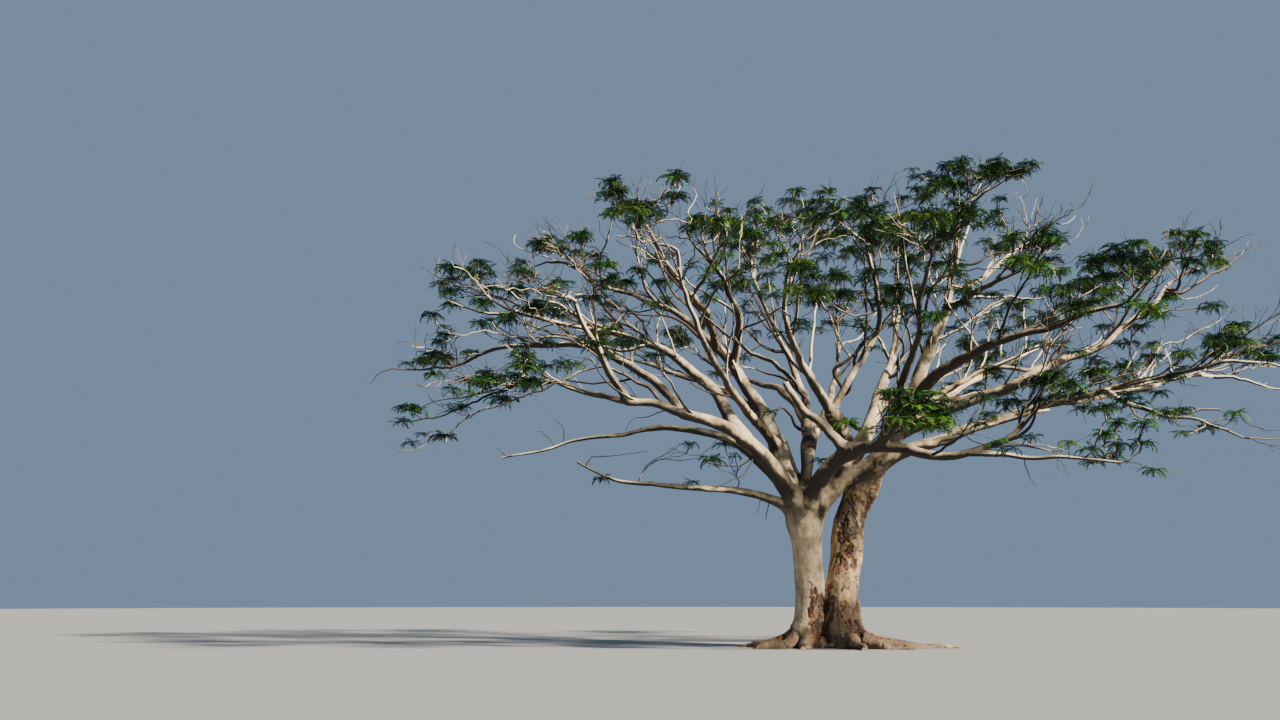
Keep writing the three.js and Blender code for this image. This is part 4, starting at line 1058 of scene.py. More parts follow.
def fill_part(row, order):
    """Small clumps at loose gaps over a part of the frame, each at the depth of wood that shows near it."""
    left, top, right, bottom, gap, width, shine = row
    random = dice(5100 + order)
    places = np.concatenate([part[0] for part in carriers])
    shown = in_frame(places)
    for down in np.arange(top, bottom, gap):
        for across in np.arange(left, right, 1.25 * gap):
            spot = np.array([across + gap * (next(random) - 0.5), down + gap * (next(random) - 0.5)])
            near = np.flatnonzero(np.linalg.norm(shown - spot, axis=1) < NEARBY)
            if len(near) == 0 or next(random) < FILL_GAPS:
                continue
            depth = places[near[int(len(near) * next(random))], 1] + 0.5 * (next(random) - 0.5)
            goal = seen_at(spot[0], spot[1], depth)
            if in_window(goal) or not in_box(goal):
                continue
            wood = grow_to(goal, random, foliage_tint(random))
            size = width * (0.07 + 0.06 * next(random))
            clump(goal, unit(wood.line[-1] - wood.line[-2]), size, random, shine)
            foot, heading, radius = wood.at(0.3 + 0.4 * next(random))
            way = unit(turned(heading, 2 * (next(random) - 0.5)) + UP * (0.7 * next(random) - 0.2))
            bare_twig(foot, way, 0.25 + 0.35 * next(random), radius * 0.7, random, BROWN, 1)


def grow_along(name, order):
    """Side boughs along a limb: long, crooked and mostly bare, some with a clump at the end."""
    limb = limbs[name]
    random = dice(2100 + order)
    length = STEP * (len(limb.line) - 1)
    place = 0.28 * length + 0.6 * next(random)
    side = 1
    while place < length * 0.96:
        start, heading, radius = limb.at(place / length)
        place += 0.25 + 0.45 * next(random)
        side = -side
        aim = turned(heading, side * (0.25 + 0.45 * next(random)))
        aim = unit(aim + UP * (0.5 * next(random) - 0.05))
        reach = (0.9 + 1.9 * next(random)) * min(1, 0.5 + length / 12)
        foot = min(0.6 * radius, 0.01 + 0.011 * reach)
        line = wander(start, aim, reach, random, rise=0.015, crook=0.33)
        tint = (PALE, PALE, PALE, GREY, BROWN)[int(5 * next(random))]
        if not in_box(line[-1]) or not all(woody(point) for point in line[4::4]):
            continue
        wood = Wood(line, taper(len(line), foot, 0.01), tint)
        boughs.append(wood)
        remember(wood, 3)
        for _ in range(1 + int(reach * 1.3)):
            root, way, thick = wood.at(0.3 + 0.6 * next(random))
            way = unit(turned(way, 1.4 * (next(random) - 0.5)) + UP * 0.4 * (next(random) - 0.3))
            shade = tint if next(random) < 0.35 else BROWN
            bare_twig(root, way, 0.4 + 0.5 * next(random), thick * 0.5, random, shade, 1)
        if next(random) < 0.3 and leafy(line[-1]):
            shine = (DARK, DARK, MIDDLING)[int(3 * next(random))]
            clump(line[-1], unit(line[-1] - line[-2]), 0.35 + 0.35 * next(random), random, shine)


BARE_LIMBS = ("left_dead", "left_low", "low_pale", "right_dead")
seen_thick = []
seen_wood = {}
for limb in limbs.values():
    remember(limb, 14)
for bough_order, bough_row in enumerate(SEEN_BOUGHS):
    grow_seen_bough(bough_row, bough_order)
for mass_order, one_mass in enumerate(masses):
    grow_mass(one_mass, mass_order)
for limb_order, limb_name in enumerate(LIMBS):
    if limb_name not in BARE_LIMBS:
        grow_along(limb_name, limb_order)
grow_seen_clumps()
for part_order, part_row in enumerate(FILLED):
    fill_part(part_row, part_order)


# Plates of the rough bark

def plates(points, size, seed):
    """For each point the distance to its plate's edge, and a number for its plate."""
    places = points / np.array(size)
    cells = np.floor(places).astype(np.int64)
    nearest = np.full(len(points), 9.0)
    second = np.full(len(points), 9.0)
    number = np.zeros(len(points))
    for offset in np.ndindex(3, 3, 3):
        cell = cells + np.array(offset) - 1
        middle = cell + np.stack([scatter(cell, seed + k) for k in range(3)], axis=1)
        distance = np.linalg.norm(places - middle, axis=1)
        closer = distance < nearest
        second = np.where(closer, nearest, np.minimum(second, distance))
        number = np.where(closer, scatter(cell, seed + 7), number)
        nearest = np.where(closer, distance, nearest)
    return second - nearest, number


# Meshes

def show(name, mesh, nodes):
    """Put a finished mesh in the scene as a piece that stands for some of the solids."""
    piece = bpy.data.objects.new(name, mesh)
    scene.collection.objects.link(piece)
    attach(piece, "root")
    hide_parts(*nodes)
    return piece


def baked(holder):
    """The mesh of an object after its modifiers, with the object itself removed."""
    graph = bpy.context.evaluated_depsgraph_get()
    mesh = bpy.data.meshes.new_from_object(holder.evaluated_get(graph))
    bpy.data.objects.remove(holder)
    return mesh


def tube_mesh(name, woods, rounding, slots=()):
    """One mesh of tapering tubes with 4 + 2 * rounding sides, each in its wood's material slot."""
    curve = bpy.data.curves.new(name, "CURVE")
    curve.dimensions = "3D"
    curve.bevel_depth = 1.0
    curve.bevel_resolution = rounding
    curve.use_fill_caps = True
    for material in slots:
        curve.materials.append(material)
    moved = swayed(np.concatenate([wood.line for wood in woods]))
    moved = np.column_stack([moved, np.ones(len(moved))]).astype(np.float32)
    used = 0
    for wood in woods:
        spline = curve.splines.new("POLY")
        spline.points.add(len(wood.line) - 1)
        spline.points.foreach_set("co", moved[used:used + len(wood.line)].ravel())
        used += len(wood.line)
        spline.points.foreach_set("radius", wood.radius.astype(np.float32))
        spline.material_index = wood.tint if slots else 0
        spline.use_smooth = True
    holder = bpy.data.objects.new(name, curve)
    scene.collection.objects.link(holder)
    bpy.context.view_layer.update()
    mesh = baked(holder)
    mesh.name = name
    return mesh


def melted(name, woods, voxel, passes):
    """Tubes melted into one skin, with their creases smoothed away."""
    holder = bpy.data.objects.new(name, tube_mesh(name, woods, 4))
    scene.collection.objects.link(holder)
    remesh = holder.modifiers.new("remesh", "REMESH")
    remesh.mode = "VOXEL"
    remesh.voxel_size = voxel
    remesh.use_smooth_shade = True
    smooth = holder.modifiers.new("smooth", "SMOOTH")
    smooth.factor = 0.5
    smooth.iterations = passes
    bpy.context.view_layer.update()
    mesh = baked(holder)
    mesh.materials.clear()
    return mesh


def sliced(mesh, height, keep_above):
    """Cut a closed mesh level at a height, keep one side and close it."""
    work = bmesh.new()
    work.from_mesh(mesh)
    geometry = work.verts[:] + work.edges[:] + work.faces[:]
    bmesh.ops.bisect_plane(
        work, geom=geometry, plane_co=(0, 0, height), plane_no=(0, 0, 1),
        clear_inner=keep_above, clear_outer=not keep_above,
    )
    rim = [edge for edge in work.edges if edge.is_boundary]
    bmesh.ops.holes_fill(work, edges=rim, sides=0)
    work.to_mesh(mesh)
    work.free()
    return mesh


def places_of(mesh):
    places = np.empty(len(mesh.vertices) * 3, np.float32)
    mesh.vertices.foreach_get("co", places)
    return places.reshape(-1, 3).astype(float)


def normals_of(mesh):
    normals = np.empty(len(mesh.vertices) * 3, np.float32)
    mesh.vertex_normals.foreach_get("vector", normals)
    return normals.reshape(-1, 3).astype(float)


def move_to(mesh, places):
    mesh.vertices.foreach_set("co", places.astype(np.float32).ravel())
    mesh.update()


def set_value(mesh, name, values):
    layer = mesh.attributes.new(name, "FLOAT", "POINT")
    layer.data.foreach_set("value", np.asarray(values, np.float32))


def skin_distance(places, wood):
    """Distance from each place to the skin of one line of wood."""
    best = np.full(len(places), 9.0)
    for (a, b), (ra, rb) in zip(zip(wood.line[:-1], wood.line[1:]), zip(wood.radius[:-1], wood.radius[1:])):
        run = b - a
        share = np.clip((places - a) @ run / max(run @ run, 1e-9), 0, 1)
        gap = np.linalg.norm(places - a - share[:, None] * run, axis=1) - ra - (rb - ra) * share
        best = np.minimum(best, gap)
    return best


def fill_crotches(mesh, woods, reach):
    """Swell the skin where two lines of wood meet, as living wood does."""
    places = places_of(mesh)
    gaps = np.sort(np.array([skin_distance(places, wood) for wood in woods]), axis=0)
    closeness = np.clip(1 - (gaps[1] - gaps[0]) / reach, 0, 1)
    move_to(mesh, places + normals_of(mesh) * (closeness ** 2 * reach / 4)[:, None])
    # The closeness is kept for the painted shade in the crotches
    set_value(mesh, "crotch", closeness)


def resmoothed(mesh, passes):
    """The mesh smoothed all over, and much more where the left stem opens into its limbs."""
    holder = bpy.data.objects.new(mesh.name, mesh)
    scene.collection.objects.link(holder)
    smooth = holder.modifiers.new("smooth", "SMOOTH")
    smooth.factor = 0.5
    smooth.iterations = passes
    gap = np.linalg.norm((places_of(mesh) - np.array(OPENING)) / np.array(OPENING_REACH), axis=1)
    levels = np.round(8 * (1 - ramp(gap, 0.45, 1.0))).astype(int)
    group = holder.vertex_groups.new(name="opening")
    for level in range(1, 9):
        group.add(np.flatnonzero(levels == level).tolist(), level / 8, "REPLACE")
    soften = holder.modifiers.new("soften", "SMOOTH")
    soften.factor = 0.5
    soften.iterations = OPENING_PASSES
    soften.vertex_group = "opening"
    bpy.context.view_layer.update()
    return baked(holder)


# Bark relief

# What the relief notes at each point of the bark, for the material to read; the last is painted shade
BARK_VALUES = ("rough", "crack", "peeled", "crumbly", "shade", "under")

# Patches where bark has peeled: stem, heading round it in degrees, low and high edge, half width
PEELED = [
    ("stem_right", -84, 1.35, 2.75, 0.17), ("stem_right", -20, 1.9, 3.1, 0.14),
    ("stem_right", 40, 0.4, 1.3, 0.16), ("stem_right", 110, 1.2, 2.6, 0.2),
    ("stem_right", -45, 0.05, 0.5, 0.16), ("stem_right", 175, 0.2, 1.0, 0.14),
    ("stem_left", -32, 0.0, 1.05, 0.32), ("stem_left", 150, 0.1, 0.7, 0.16),
]


def peeled_share(places):
    """Ragged patches on the stems at the listed places, and how far the outer bark has peeled in them."""
    share = np.zeros(len(places))
    ragged = 0.16 * noise(places * (1, 1, 0.7), 0.16, 61) + 0.08 * noise(places, 0.05, 62)
    for name, heading, low, high, width in PEELED:
        line = stems[name].line
        middle = np.stack([np.interp(places[:, 2], line[:, 2], line[:, k]) for k in range(2)], axis=1)
        offset = places[:, :2] - middle
        angle = np.arctan2(offset[:, 1], offset[:, 0]) - math.radians(heading)
        angle = np.abs((angle + math.pi) % (2 * math.pi) - math.pi)
        gap = np.maximum(angle * 0.32 - width, np.maximum(low - places[:, 2], places[:, 2] - high) * 0.5)
        near = np.linalg.norm(offset, axis=1) < 0.5
        share = np.maximum(share, np.where(near, 1 - ramp(gap + ragged, -0.03, 0.03), 0))
    islands = noise(places * (1, 1, 0.6), 0.09, 63) + 0.5 * noise(places, 0.035, 64)
    return share, share * ramp(islands, -0.35, -0.1)


def lower_part(name, length):
    """The first stretch of a limb, up to a length in metres."""
    return limbs[name].part(STEP * np.arange(len(limbs[name].line)) < length)


def rough_share(places):
    """How rough the bark is: plated on the right stem and low on both, smooth elsewhere."""
    right = skin_distance(places, stems["stem_right"])
    leader = skin_distance(places, lower_part("leader", 1.35))
    left = skin_distance(places, stems["stem_left"])
    smooth_limbs = ("low_front", "up_back", "right_long", "left_high", "left_broad", "up_mid")
    others = np.min([skin_distance(places, lower_part(name, 2.35)) for name in smooth_limbs], axis=0)
    own_right = ramp(np.minimum(left, others) - np.minimum(right, leader), -0.03, 0.05)
    fade = 1 - ramp(places[:, 2] + 0.25 * noise(places, 0.3, 3), 3.2, 3.9)
    low = 1 - ramp(places[:, 2] + 0.22 * noise(places, 0.2, 5), 0.3, 0.5)
    return np.maximum(own_right * fade, low)


# Limbs whose bark gets a painted shadow between two heights
PAINTED_SHADOW_LIMBS = {"up_mid": (2.9, 5.2), "back_mid": (3.8, 4.7), "top_right": (6.0, 9.0)}

# Painted shadows on the wood: place in the frame, depth and reach
PAINTED_SHADOWS = [
    (826, 512, -0.3, 0.3), (846, 512, 0.1, 0.42), (862, 520, 0.2, 0.3), (852, 530, 0.05, 0.3),
    (806, 492, -0.2, 0.3), (836, 470, 0.0, 0.3), (848, 444, 0.1, 0.35),
    (788, 470, 0.1, 0.25), (762, 440, 0.2, 0.3), (840, 420, -0.4, 0.3),
]


def painted_shadow_share(places):
    """Painted shadows on the bark: soft-edged patches, and the listed limbs between two heights."""
    ragged = 0.3 * noise(places, 0.14, 81) + 0.15 * noise(places, 0.05, 82)
    share = np.zeros(len(places))
    for across, down, depth, reach in PAINTED_SHADOWS:
        gap = np.linalg.norm(places - seen_at(across, down, depth), axis=1) / reach
        share = np.maximum(share, 1 - ramp(gap + ragged, 0.35, 1.0))
    for name, (low, high) in PAINTED_SHADOW_LIMBS.items():
        near = 1 - ramp(skin_distance(places, limbs[name]) + 0.1 * ragged, 0.03, 0.1)
        level = ramp(places[:, 2], low, low + 0.3) * (1 - ramp(places[:, 2] + ragged, high - 0.5, high))
        share = np.maximum(share, near * level)
    return share


def painted_shade_share(mesh, places, normals):
    """How much painted shade the bark gets: on the side that looks away from the sun, in painted shadows and
    in the crotches.
    """
    high_up = ramp(places[:, 2], 3.6, 5.6)
    # Painted shade on the sides that look the painted-shade way, high up also on those that face -Y, with
    # ragged edges; less of it low on the stems
    painted_shade_facing = normals @ np.array(PAINTED_SHADE_WAY) - 0.15 * high_up * normals[:, 1]
    painted_shade_facing = painted_shade_facing + 0.35 * noise(places, 0.2, 34) + 0.15 * noise(places, 0.06, 36)
    upper = 0.2 + 0.8 * ramp(places[:, 2], 1.9, 3.0)
    under = np.maximum(upper * ramp(painted_shade_facing, -0.22, 0.28), painted_shadow_share(places))
    if "crotch" in mesh.attributes:
        crotch = np.empty(len(places), np.float32)
        mesh.attributes["crotch"].data.foreach_get("value", crotch)
        # Painted shade in the crotches, high on the fork
        high = ramp(places[:, 2], 2.3, 2.7)
        under = np.maximum(under, 0.7 * high * ramp(crotch + 0.25 * noise(places, 0.1, 35), 0.65, 1.0))
        mesh.attributes.remove(mesh.attributes["crotch"])
    return under


def crumbly_share(places, rough):
    """Where the rough bark has broken into crumbs: low down, and in patches further up."""
    level = places[:, 2] + 0.3 * noise(places, 0.25, 71) + 0.5 * (places[:, 0] + 0.1)
    return rough * np.maximum(1 - ramp(level, 0.75, 1.2), 0.8 * ramp(noise(places, 0.3, 72), 0.2, 0.5))


def plated(places, values, lift):
    """The lift with that of the plates, flakes and cracks added, whose values are noted too."""
    rough, peeled = values["rough"], values["peeled"]
    bent = places + 0.03 * np.stack([noise(places, 0.12, 20 + k) for k in range(3)], axis=1)
    edge, number = plates(bent, PLATE_SIZE, 41)
    fine_edge, fine_number = plates(bent, FLAKE_SIZE, 51)
    crumbly = crumbly_share(places, rough)
    lost = ramp(number, 0.8, 0.84) * ramp(edge, 0.03, 0.1)
    lost = np.maximum(lost, ramp(fine_number, 0.84, 0.88) * ramp(fine_edge, 0.05, 0.15))
    peeled = np.maximum(peeled, rough * lost * ramp(noise(places, 0.35, 74), -0.3, 0.1))
    open_edges = ramp(noise(places, 0.17, 73), -0.25, 0.35)
    crack = (1 - ramp(edge, 0.02, 0.13)) * np.maximum(peeled, 0.75 * open_edges)
    chips = 1 - ramp(fine_edge, 0.02, 0.24)
    crack = np.maximum(crack, np.maximum(0.8 * peeled, 0.5 * crumbly * open_edges) * chips)
    crack = crack * rough
    shade = np.where(rough > 0.5, 0.6 * number + 0.4 * fine_number, values["shade"])
    values.update(crack=crack, peeled=peeled, crumbly=crumbly, shade=shade)
    lift = lift + rough * (0.012 * (number - 0.4) + 0.014 * crumbly * (fine_number - 0.3))
    return lift - 0.024 * peeled + 0.014 * peeled * fine_number - 0.016 * crack


def add_relief(mesh, depth=1.0, has_plates=False):
    """Raise the bark: plates and flaked hollows where it is rough, soft lumps where it is smooth."""
    places = places_of(mesh)
    normals = normals_of(mesh)
    lift = 0.012 * noise(places, 0.45, 30) + 0.006 * noise(places, 0.17, 31)
    lift = lift + 0.003 * noise(places * (1, 1, 2.4), 0.07, 32)
    values = {name: np.zeros(len(places)) for name in BARK_VALUES}
    values["shade"] = 0.5 + 0.5 * noise(places, 0.3, 33)
    # The painted shade that the material lays on the bark
    values["under"] = painted_shade_share(mesh, places, normals)
    if has_plates:
        patch, values["peeled"] = peeled_share(places)
        values["rough"] = np.maximum(rough_share(places), patch)
        lift = plated(places, values, lift)
    places = places + normals * (lift * depth)[:, None]
    places[:, 2] = np.maximum(places[:, 2], 0)
    move_to(mesh, places)
    for name, value in values.items():
        set_value(mesh, name, value)


# Materials

def add_node(tree, kind, inputs=(), **settings):
    """A new node with its settings made, and each input linked or given its value."""
    node = tree.nodes.new(kind)
    for key, value in settings.items():
        setattr(node, key, value)
    for key, value in dict(inputs).items():
        if isinstance(value, bpy.types.NodeSocket):
            tree.links.new(value, node.inputs[key])
        else:
            node.inputs[key].default_value = value
    return node


def mixed(tree, factor, first, second):
    """The colour between two, at a share of the way to the second."""
    node = add_node(tree, "ShaderNodeMix", data_type="RGBA", blend_type="MIX")
    for key, value in ((0, factor), (6, first), (7, second)):
        if isinstance(value, bpy.types.NodeSocket):
            tree.links.new(value, node.inputs[key])
        else:
            node.inputs[key].default_value = value
    return node.outputs[2]


def maths(tree, operation, first, second=0.0, third=0.0):
    node = add_node(tree, "ShaderNodeMath", operation=operation)
    for key, value in enumerate((first, second, third)):
        if isinstance(value, bpy.types.NodeSocket):
            tree.links.new(value, node.inputs[key])
        else:
            node.inputs[key].default_value = value
    return node.outputs[0]


def eased(tree, value, low, high):
    """A value eased from 0 at low to 1 at high."""
    node = add_node(
        tree, "ShaderNodeMapRange", {"Value": value, "From Min": low, "From Max": high},
        interpolation_type="SMOOTHSTEP",
    )
    return node.outputs["Result"]


def make_mottle_group():
    """Patches of another tone with ragged edges, as lichen and weather leave them."""
    group = bpy.data.node_groups.new("mottle", "ShaderNodeTree")
    for name, value in (("Size", 4.0), ("Amount", 0.5), ("Stretch", 1.0)):
        socket = group.interface.new_socket(name, in_out="INPUT", socket_type="NodeSocketFloat")
        socket.default_value = value
    group.interface.new_socket("Mask", in_out="OUTPUT", socket_type="NodeSocketFloat")
    given = group.nodes.new("NodeGroupInput")
    result = group.nodes.new("NodeGroupOutput")
    place = add_node(group, "ShaderNodeTexCoord").outputs["Object"]
    stretch = add_node(group, "ShaderNodeCombineXYZ", {"X": 1.0, "Y": 1.0, "Z": given.outputs["Stretch"]})
    scaled = add_node(
        group, "ShaderNodeVectorMath", {0: place, 1: stretch.outputs[0]}, operation="MULTIPLY",
    )
    cloud = add_node(
        group, "ShaderNodeTexNoise",
        {"Vector": scaled.outputs[0], "Scale": given.outputs["Size"], "Detail": 6.0, "Roughness": 0.62},
    )
    edge = maths(group, "SUBTRACT", 1.0, given.outputs["Amount"])
    low = maths(group, "SUBTRACT", edge, 0.12)
    high = maths(group, "ADD", edge, 0.12)
    mask = eased(group, cloud.outputs["Fac"], low, high)
    group.links.new(mask, result.inputs["Mask"])
    return group


mottle_group = make_mottle_group()


def mottle(tree, size, amount, stretch=1.0):
    node = add_node(tree, "ShaderNodeGroup", node_tree=mottle_group)
    node.inputs["Size"].default_value = size
    node.inputs["Amount"].default_value = amount
    node.inputs["Stretch"].default_value = stretch
    return node.outputs["Mask"]


def new_material(name):
    material = bpy.data.materials.new(name)
    material.use_nodes = True
    return material, material.node_tree, material.node_tree.nodes["Principled BSDF"]


PALE_BARK = (0.61, 0.46, 0.265, 1)
GREY_BARK = (0.19, 0.13, 0.078, 1)
# The darkest bark: dark specks and bare patches, and also the colour that painted shade lays on
DARK_BARK = (0.012, 0.0074, 0.0048, 1)
CREAM_BARK = (0.85, 0.7, 0.46, 1)
PLATE_BARK = (0.25, 0.14, 0.068, 1)
STRAW_BARK = (0.58, 0.41, 0.2, 1)
CRUMB_BARK = (0.14, 0.092, 0.055, 1)
BARE_BARK = (0.27, 0.095, 0.03, 1)
# The cracks' colour: partly the bark's own dark fissures, partly painted shade in their hollows
FISSURE = (0.012, 0.007, 0.0045, 1)


def smooth_bark(tree, values):
    """The colour of smooth bark: pale, with grey, cream and dark patches, and painted shade where the relief
    notes it.
    """
    grey = maths(tree, "MULTIPLY", mottle(tree, 3.6, 0.47, 0.45), 0.75)
    cream = maths(tree, "MULTIPLY", mottle(tree, 7.0, 0.45, 0.5), 0.6)
    specks = maths(tree, "MULTIPLY", mottle(tree, 16.0, 0.4, 0.6), 0.45)
    color = mixed(tree, grey, PALE_BARK, GREY_BARK)
    color = mixed(tree, cream, color, CREAM_BARK)
    color = mixed(tree, specks, color, DARK_BARK)
    # Painted shade: the bark turns to DARK_BARK by the painted shade value
    return mixed(tree, maths(tree, "MULTIPLY", values["under"], 0.98), color, DARK_BARK)


def plated_bark(tree, values):
    """The colour of rough bark: plates and crumbs, with bare patches, dark cracks and painted shade."""
    grey = maths(tree, "MULTIPLY", mottle(tree, 9.0, 0.42, 0.6), 0.5)
    bare = mixed(tree, values["shade"], DARK_BARK, BARE_BARK)
    color = mixed(tree, values["shade"], PLATE_BARK, STRAW_BARK)
    color = mixed(tree, grey, color, GREY_BARK)
    color = mixed(tree, maths(tree, "MULTIPLY", values["crumbly"], 0.85), color, CRUMB_BARK)
    color = mixed(tree, maths(tree, "MULTIPLY", values["peeled"], 0.92), color, bare)
    # Cracks: partly the bark's own dark, partly painted shade in the hollows
    color = mixed(tree, values["crack"], color, FISSURE)
    # Painted shade: the plates turn to DARK_BARK by the painted shade value
    return mixed(tree, maths(tree, "MULTIPLY", values["under"], 0.82), color, DARK_BARK)


def bark_material():
    """Smooth pale bark that turns to dark fissured plates where the relief says so."""
    material, tree, shader = new_material("weathered_bark")
    place = add_node(tree, "ShaderNodeTexCoord").outputs["Object"]
    values = {}
    for name in BARK_VALUES:
        values[name] = add_node(tree, "ShaderNodeAttribute", attribute_name=name).outputs["Fac"]
    color = mixed(tree, values["rough"], smooth_bark(tree, values), plated_bark(tree, values))
    grain = add_node(tree, "ShaderNodeTexNoise", {"Vector": place, "Scale": 60.0, "Detail": 4.0})
    rings = add_node(
        tree, "ShaderNodeTexWave", {"Vector": place, "Scale": 4.0, "Distortion": 9.0, "Detail": 3.0},
        bands_direction="Z",
    )
    height = maths(tree, "MULTIPLY_ADD", rings.outputs["Fac"], 0.35, grain.outputs["Fac"])
    bump = add_node(tree, "ShaderNodeBump", {"Height": height, "Strength": 0.45, "Distance": 0.012})
    tree.links.new(bump.outputs["Normal"], shader.inputs["Normal"])
    tree.links.new(color, shader.inputs["Base Color"])
    dryness = maths(tree, "MULTIPLY_ADD", grain.outputs["Fac"], 0.2, 0.7)
    tree.links.new(dryness, shader.inputs["Roughness"])
    return material


def twig_material(name, color):
    material, _, shader = new_material(name)
    shader.inputs["Base Color"].default_value = color
    shader.inputs["Roughness"].default_value = 0.85
    return material


def leaf_material(name, color):
    material, _, shader = new_material(name)
    shader.inputs["Base Color"].default_value = color
    shader.inputs["Roughness"].default_value = 0.6
    shader.inputs["Specular IOR Level"].default_value = 0.25
    return material


bark = bark_material()
# Pale, grey and brown, partly the wood's own tones and partly painted light, and darker copies of the three
# that paint shade on faces that look away from the sun
twig_tints = [
    twig_material("pale_twig", (0.72, 0.6, 0.41, 1)),
    twig_material("grey_twig", (0.28, 0.205, 0.13, 1)),
    twig_material("brown_twig", (0.05, 0.034, 0.023, 1)),
    twig_material("pale_twig_painted_shade_facing", (0.026, 0.017, 0.011, 1)),
    twig_material("grey_twig_painted_shade_facing", (0.013, 0.0085, 0.0055, 1)),
    twig_material("brown_twig_painted_shade_facing", (0.008, 0.005, 0.0033, 1)),
]
# Leaf tints from dark to bright: their own greens, and also painted shade and painted light by the shine of
# each clump
leaf_tints = [
    leaf_material("deep_leaf", (0.011, 0.04, 0.012, 1)),
    leaf_material("blue_leaf", (0.008, 0.032, 0.018, 1)),
    leaf_material("mid_leaf", (0.036, 0.12, 0.015, 1)),
    leaf_material("olive_leaf", (0.09, 0.16, 0.018, 1)),
    leaf_material("bright_leaf", (0.1, 0.215, 0.017, 1)),
]
# Up to which draw each leaf tint is dealt, by the clump's shine: the tints differ at random, and the shine
# paints shade on dark clumps and light on bright ones
LEAF_SHARES = {
    DARK: (0.4, 0.75, 0.93, 1.0, 1.0),
    MIDDLING: (0.15, 0.3, 0.65, 0.88, 1.0),
    BRIGHT: (0.0, 0.08, 0.3, 0.5, 1.0),
}


# Stems, fork and limbs

STEM_PASSES = 6                 # of smoothing, once the tubes of the stems and the fork are melted
CROTCH_PASSES = 5               # the same once the crotches are filled
LIMB_PASSES = 4                 # the same for the melted limbs
OVERLAP = 0.25                  # how far the limbs' pieces reach into the fork's
LIMB_RELIEF = 0.6               # depth of the bark's relief on the limbs, as a share of the stems'
FORK_LIMBS = ["up_back", "low_front", "left_high", "left_broad", "leader", "up_mid"]
LIMB_SIDES = {
    "limbs_left": ["left_high", "left_broad", "left_dead", "left_mid", "left_low", "left_long",
                   "left_fan", "left_top", "up_left", "back_far", "front_left"],
    "limbs_middle": ["low_front", "up_mid", "up_back", "up_centre", "up_fork", "back_left",
                     "back_mid", "back_right", "front_right", "low_pale", "front_low"],
    "limbs_right": ["leader", "right_long", "right_high", "right_mid", "right_bright", "right_back",
                    "upper_right", "top_right", "right_dead"],
}


def near_heart(wood, reach=HEART_REACH):
    return np.linalg.norm(wood.line - np.array(HEART), axis=1) < reach


def rooted_limb(name):
    return rooted(limbs[name], *LIMBS[name][:2])


def fork_woods():
    """The stems, the feet of the limbs and of the thick boughs, and the surface roots."""
    feet = [wood.part(near_heart(wood)) for wood in map(rooted_limb, LIMBS)]
    feet.extend(wood.part(near_heart(wood)) for _, wood in seen_thick)
    return [*map(domed, stems.values()), *[foot for foot in feet if foot is not None], *roots]


def show_stems_and_fork():
    """The stems and the fork, melted together, with plated bark, and cut apart at a height."""
    woods = fork_woods()
    mesh = sliced(melted("stems", woods, HEART_VOXEL, STEM_PASSES), 0, True)
    fill_crotches(mesh, woods, FILLET)
    mesh = resmoothed(mesh, CROTCH_PASSES)
    add_relief(mesh, has_plates=True)
    mesh.materials.append(bark)
    fork = sliced(mesh.copy(), STEM_CUT, True)
    show("stems", sliced(mesh, STEM_CUT, False), STEMS)
    show("fork", fork, FORK_LIMBS)


def show_limbs(side, names):
    """The limbs of one side past the fork, as one skin, with their thin ends left to the boughs."""
    thick = []
    for wood in map(rooted_limb, names):
        outer = ~near_heart(wood, HEART_REACH - OVERLAP)
        thick.append(wood.part(outer & (wood.radius >= THIN_WOOD)))
        thin = wood.part(outer & (wood.radius < THIN_WOOD + 0.004))
        if thin is not None:
            boughs.append(thin)
    for carrier, wood in seen_thick:
        if carrier in names:
            thick.append(wood.part(~near_heart(wood, HEART_REACH - OVERLAP)))
    woods = [wood for wood in thick if wood is not None]
    mesh = melted(side, woods, LIMB_VOXEL, LIMB_PASSES)
    add_relief(mesh, LIMB_RELIEF)
    mesh.materials.append(bark)
    show(side, mesh, names)


show_stems_and_fork()
for side_name, side_limbs in LIMB_SIDES.items():
    show_limbs(side_name, side_limbs)


# Twigs

foliage_nodes = [f"{mass.name}_foliage" for mass in masses]


def show_tubes(name, woods, rounding):
    """Thin wood as tubes, each in its tint, with the faces that look away from the sun in a darker copy of
    it, painted shade.
    """
    mesh = tube_mesh(name, woods, rounding, twig_tints)
    count = len(mesh.polygons)
    normals = np.empty(count * 3, np.float32)
    mesh.polygons.foreach_get("normal", normals)
    slots = np.empty(count, np.int32)
    mesh.polygons.foreach_get("material_index", slots)
    # Faces that look the painted-shade way take the darker copy: painted shade
    slots[normals.reshape(-1, 3) @ np.array(PAINTED_SHADE_WAY_THIN) > PAINTED_SHADE_WAY_TURN] += len(twig_tints) // 2
    mesh.polygons.foreach_set("material_index", slots)
    show(name, mesh, foliage_nodes)


show_tubes("boughs", boughs, 1)
show_tubes("twigs", twigs, 0)


# Leaves

LEAFLET_LENGTH = 0.27           # as a share of the frond's length, as the next three are
LEAFLET_WIDTH = 0.06
LEAFLET_FOLD = 0.012
RIB_WIDTH = 0.013


def frond_rib(droop):
    """Points of a frond's rib, which rises a little and then turns down."""
    angles = np.radians(24 - droop * np.linspace(0, 1, RIB_STEPS + 1) ** 1.3)
    rib = np.zeros((RIB_STEPS + 1, 3))
    rib[1:, 0] = np.cumsum(np.cos(angles[1:])) / RIB_STEPS
    rib[1:, 2] = np.cumsum(np.sin(angles[1:])) / RIB_STEPS
    return rib


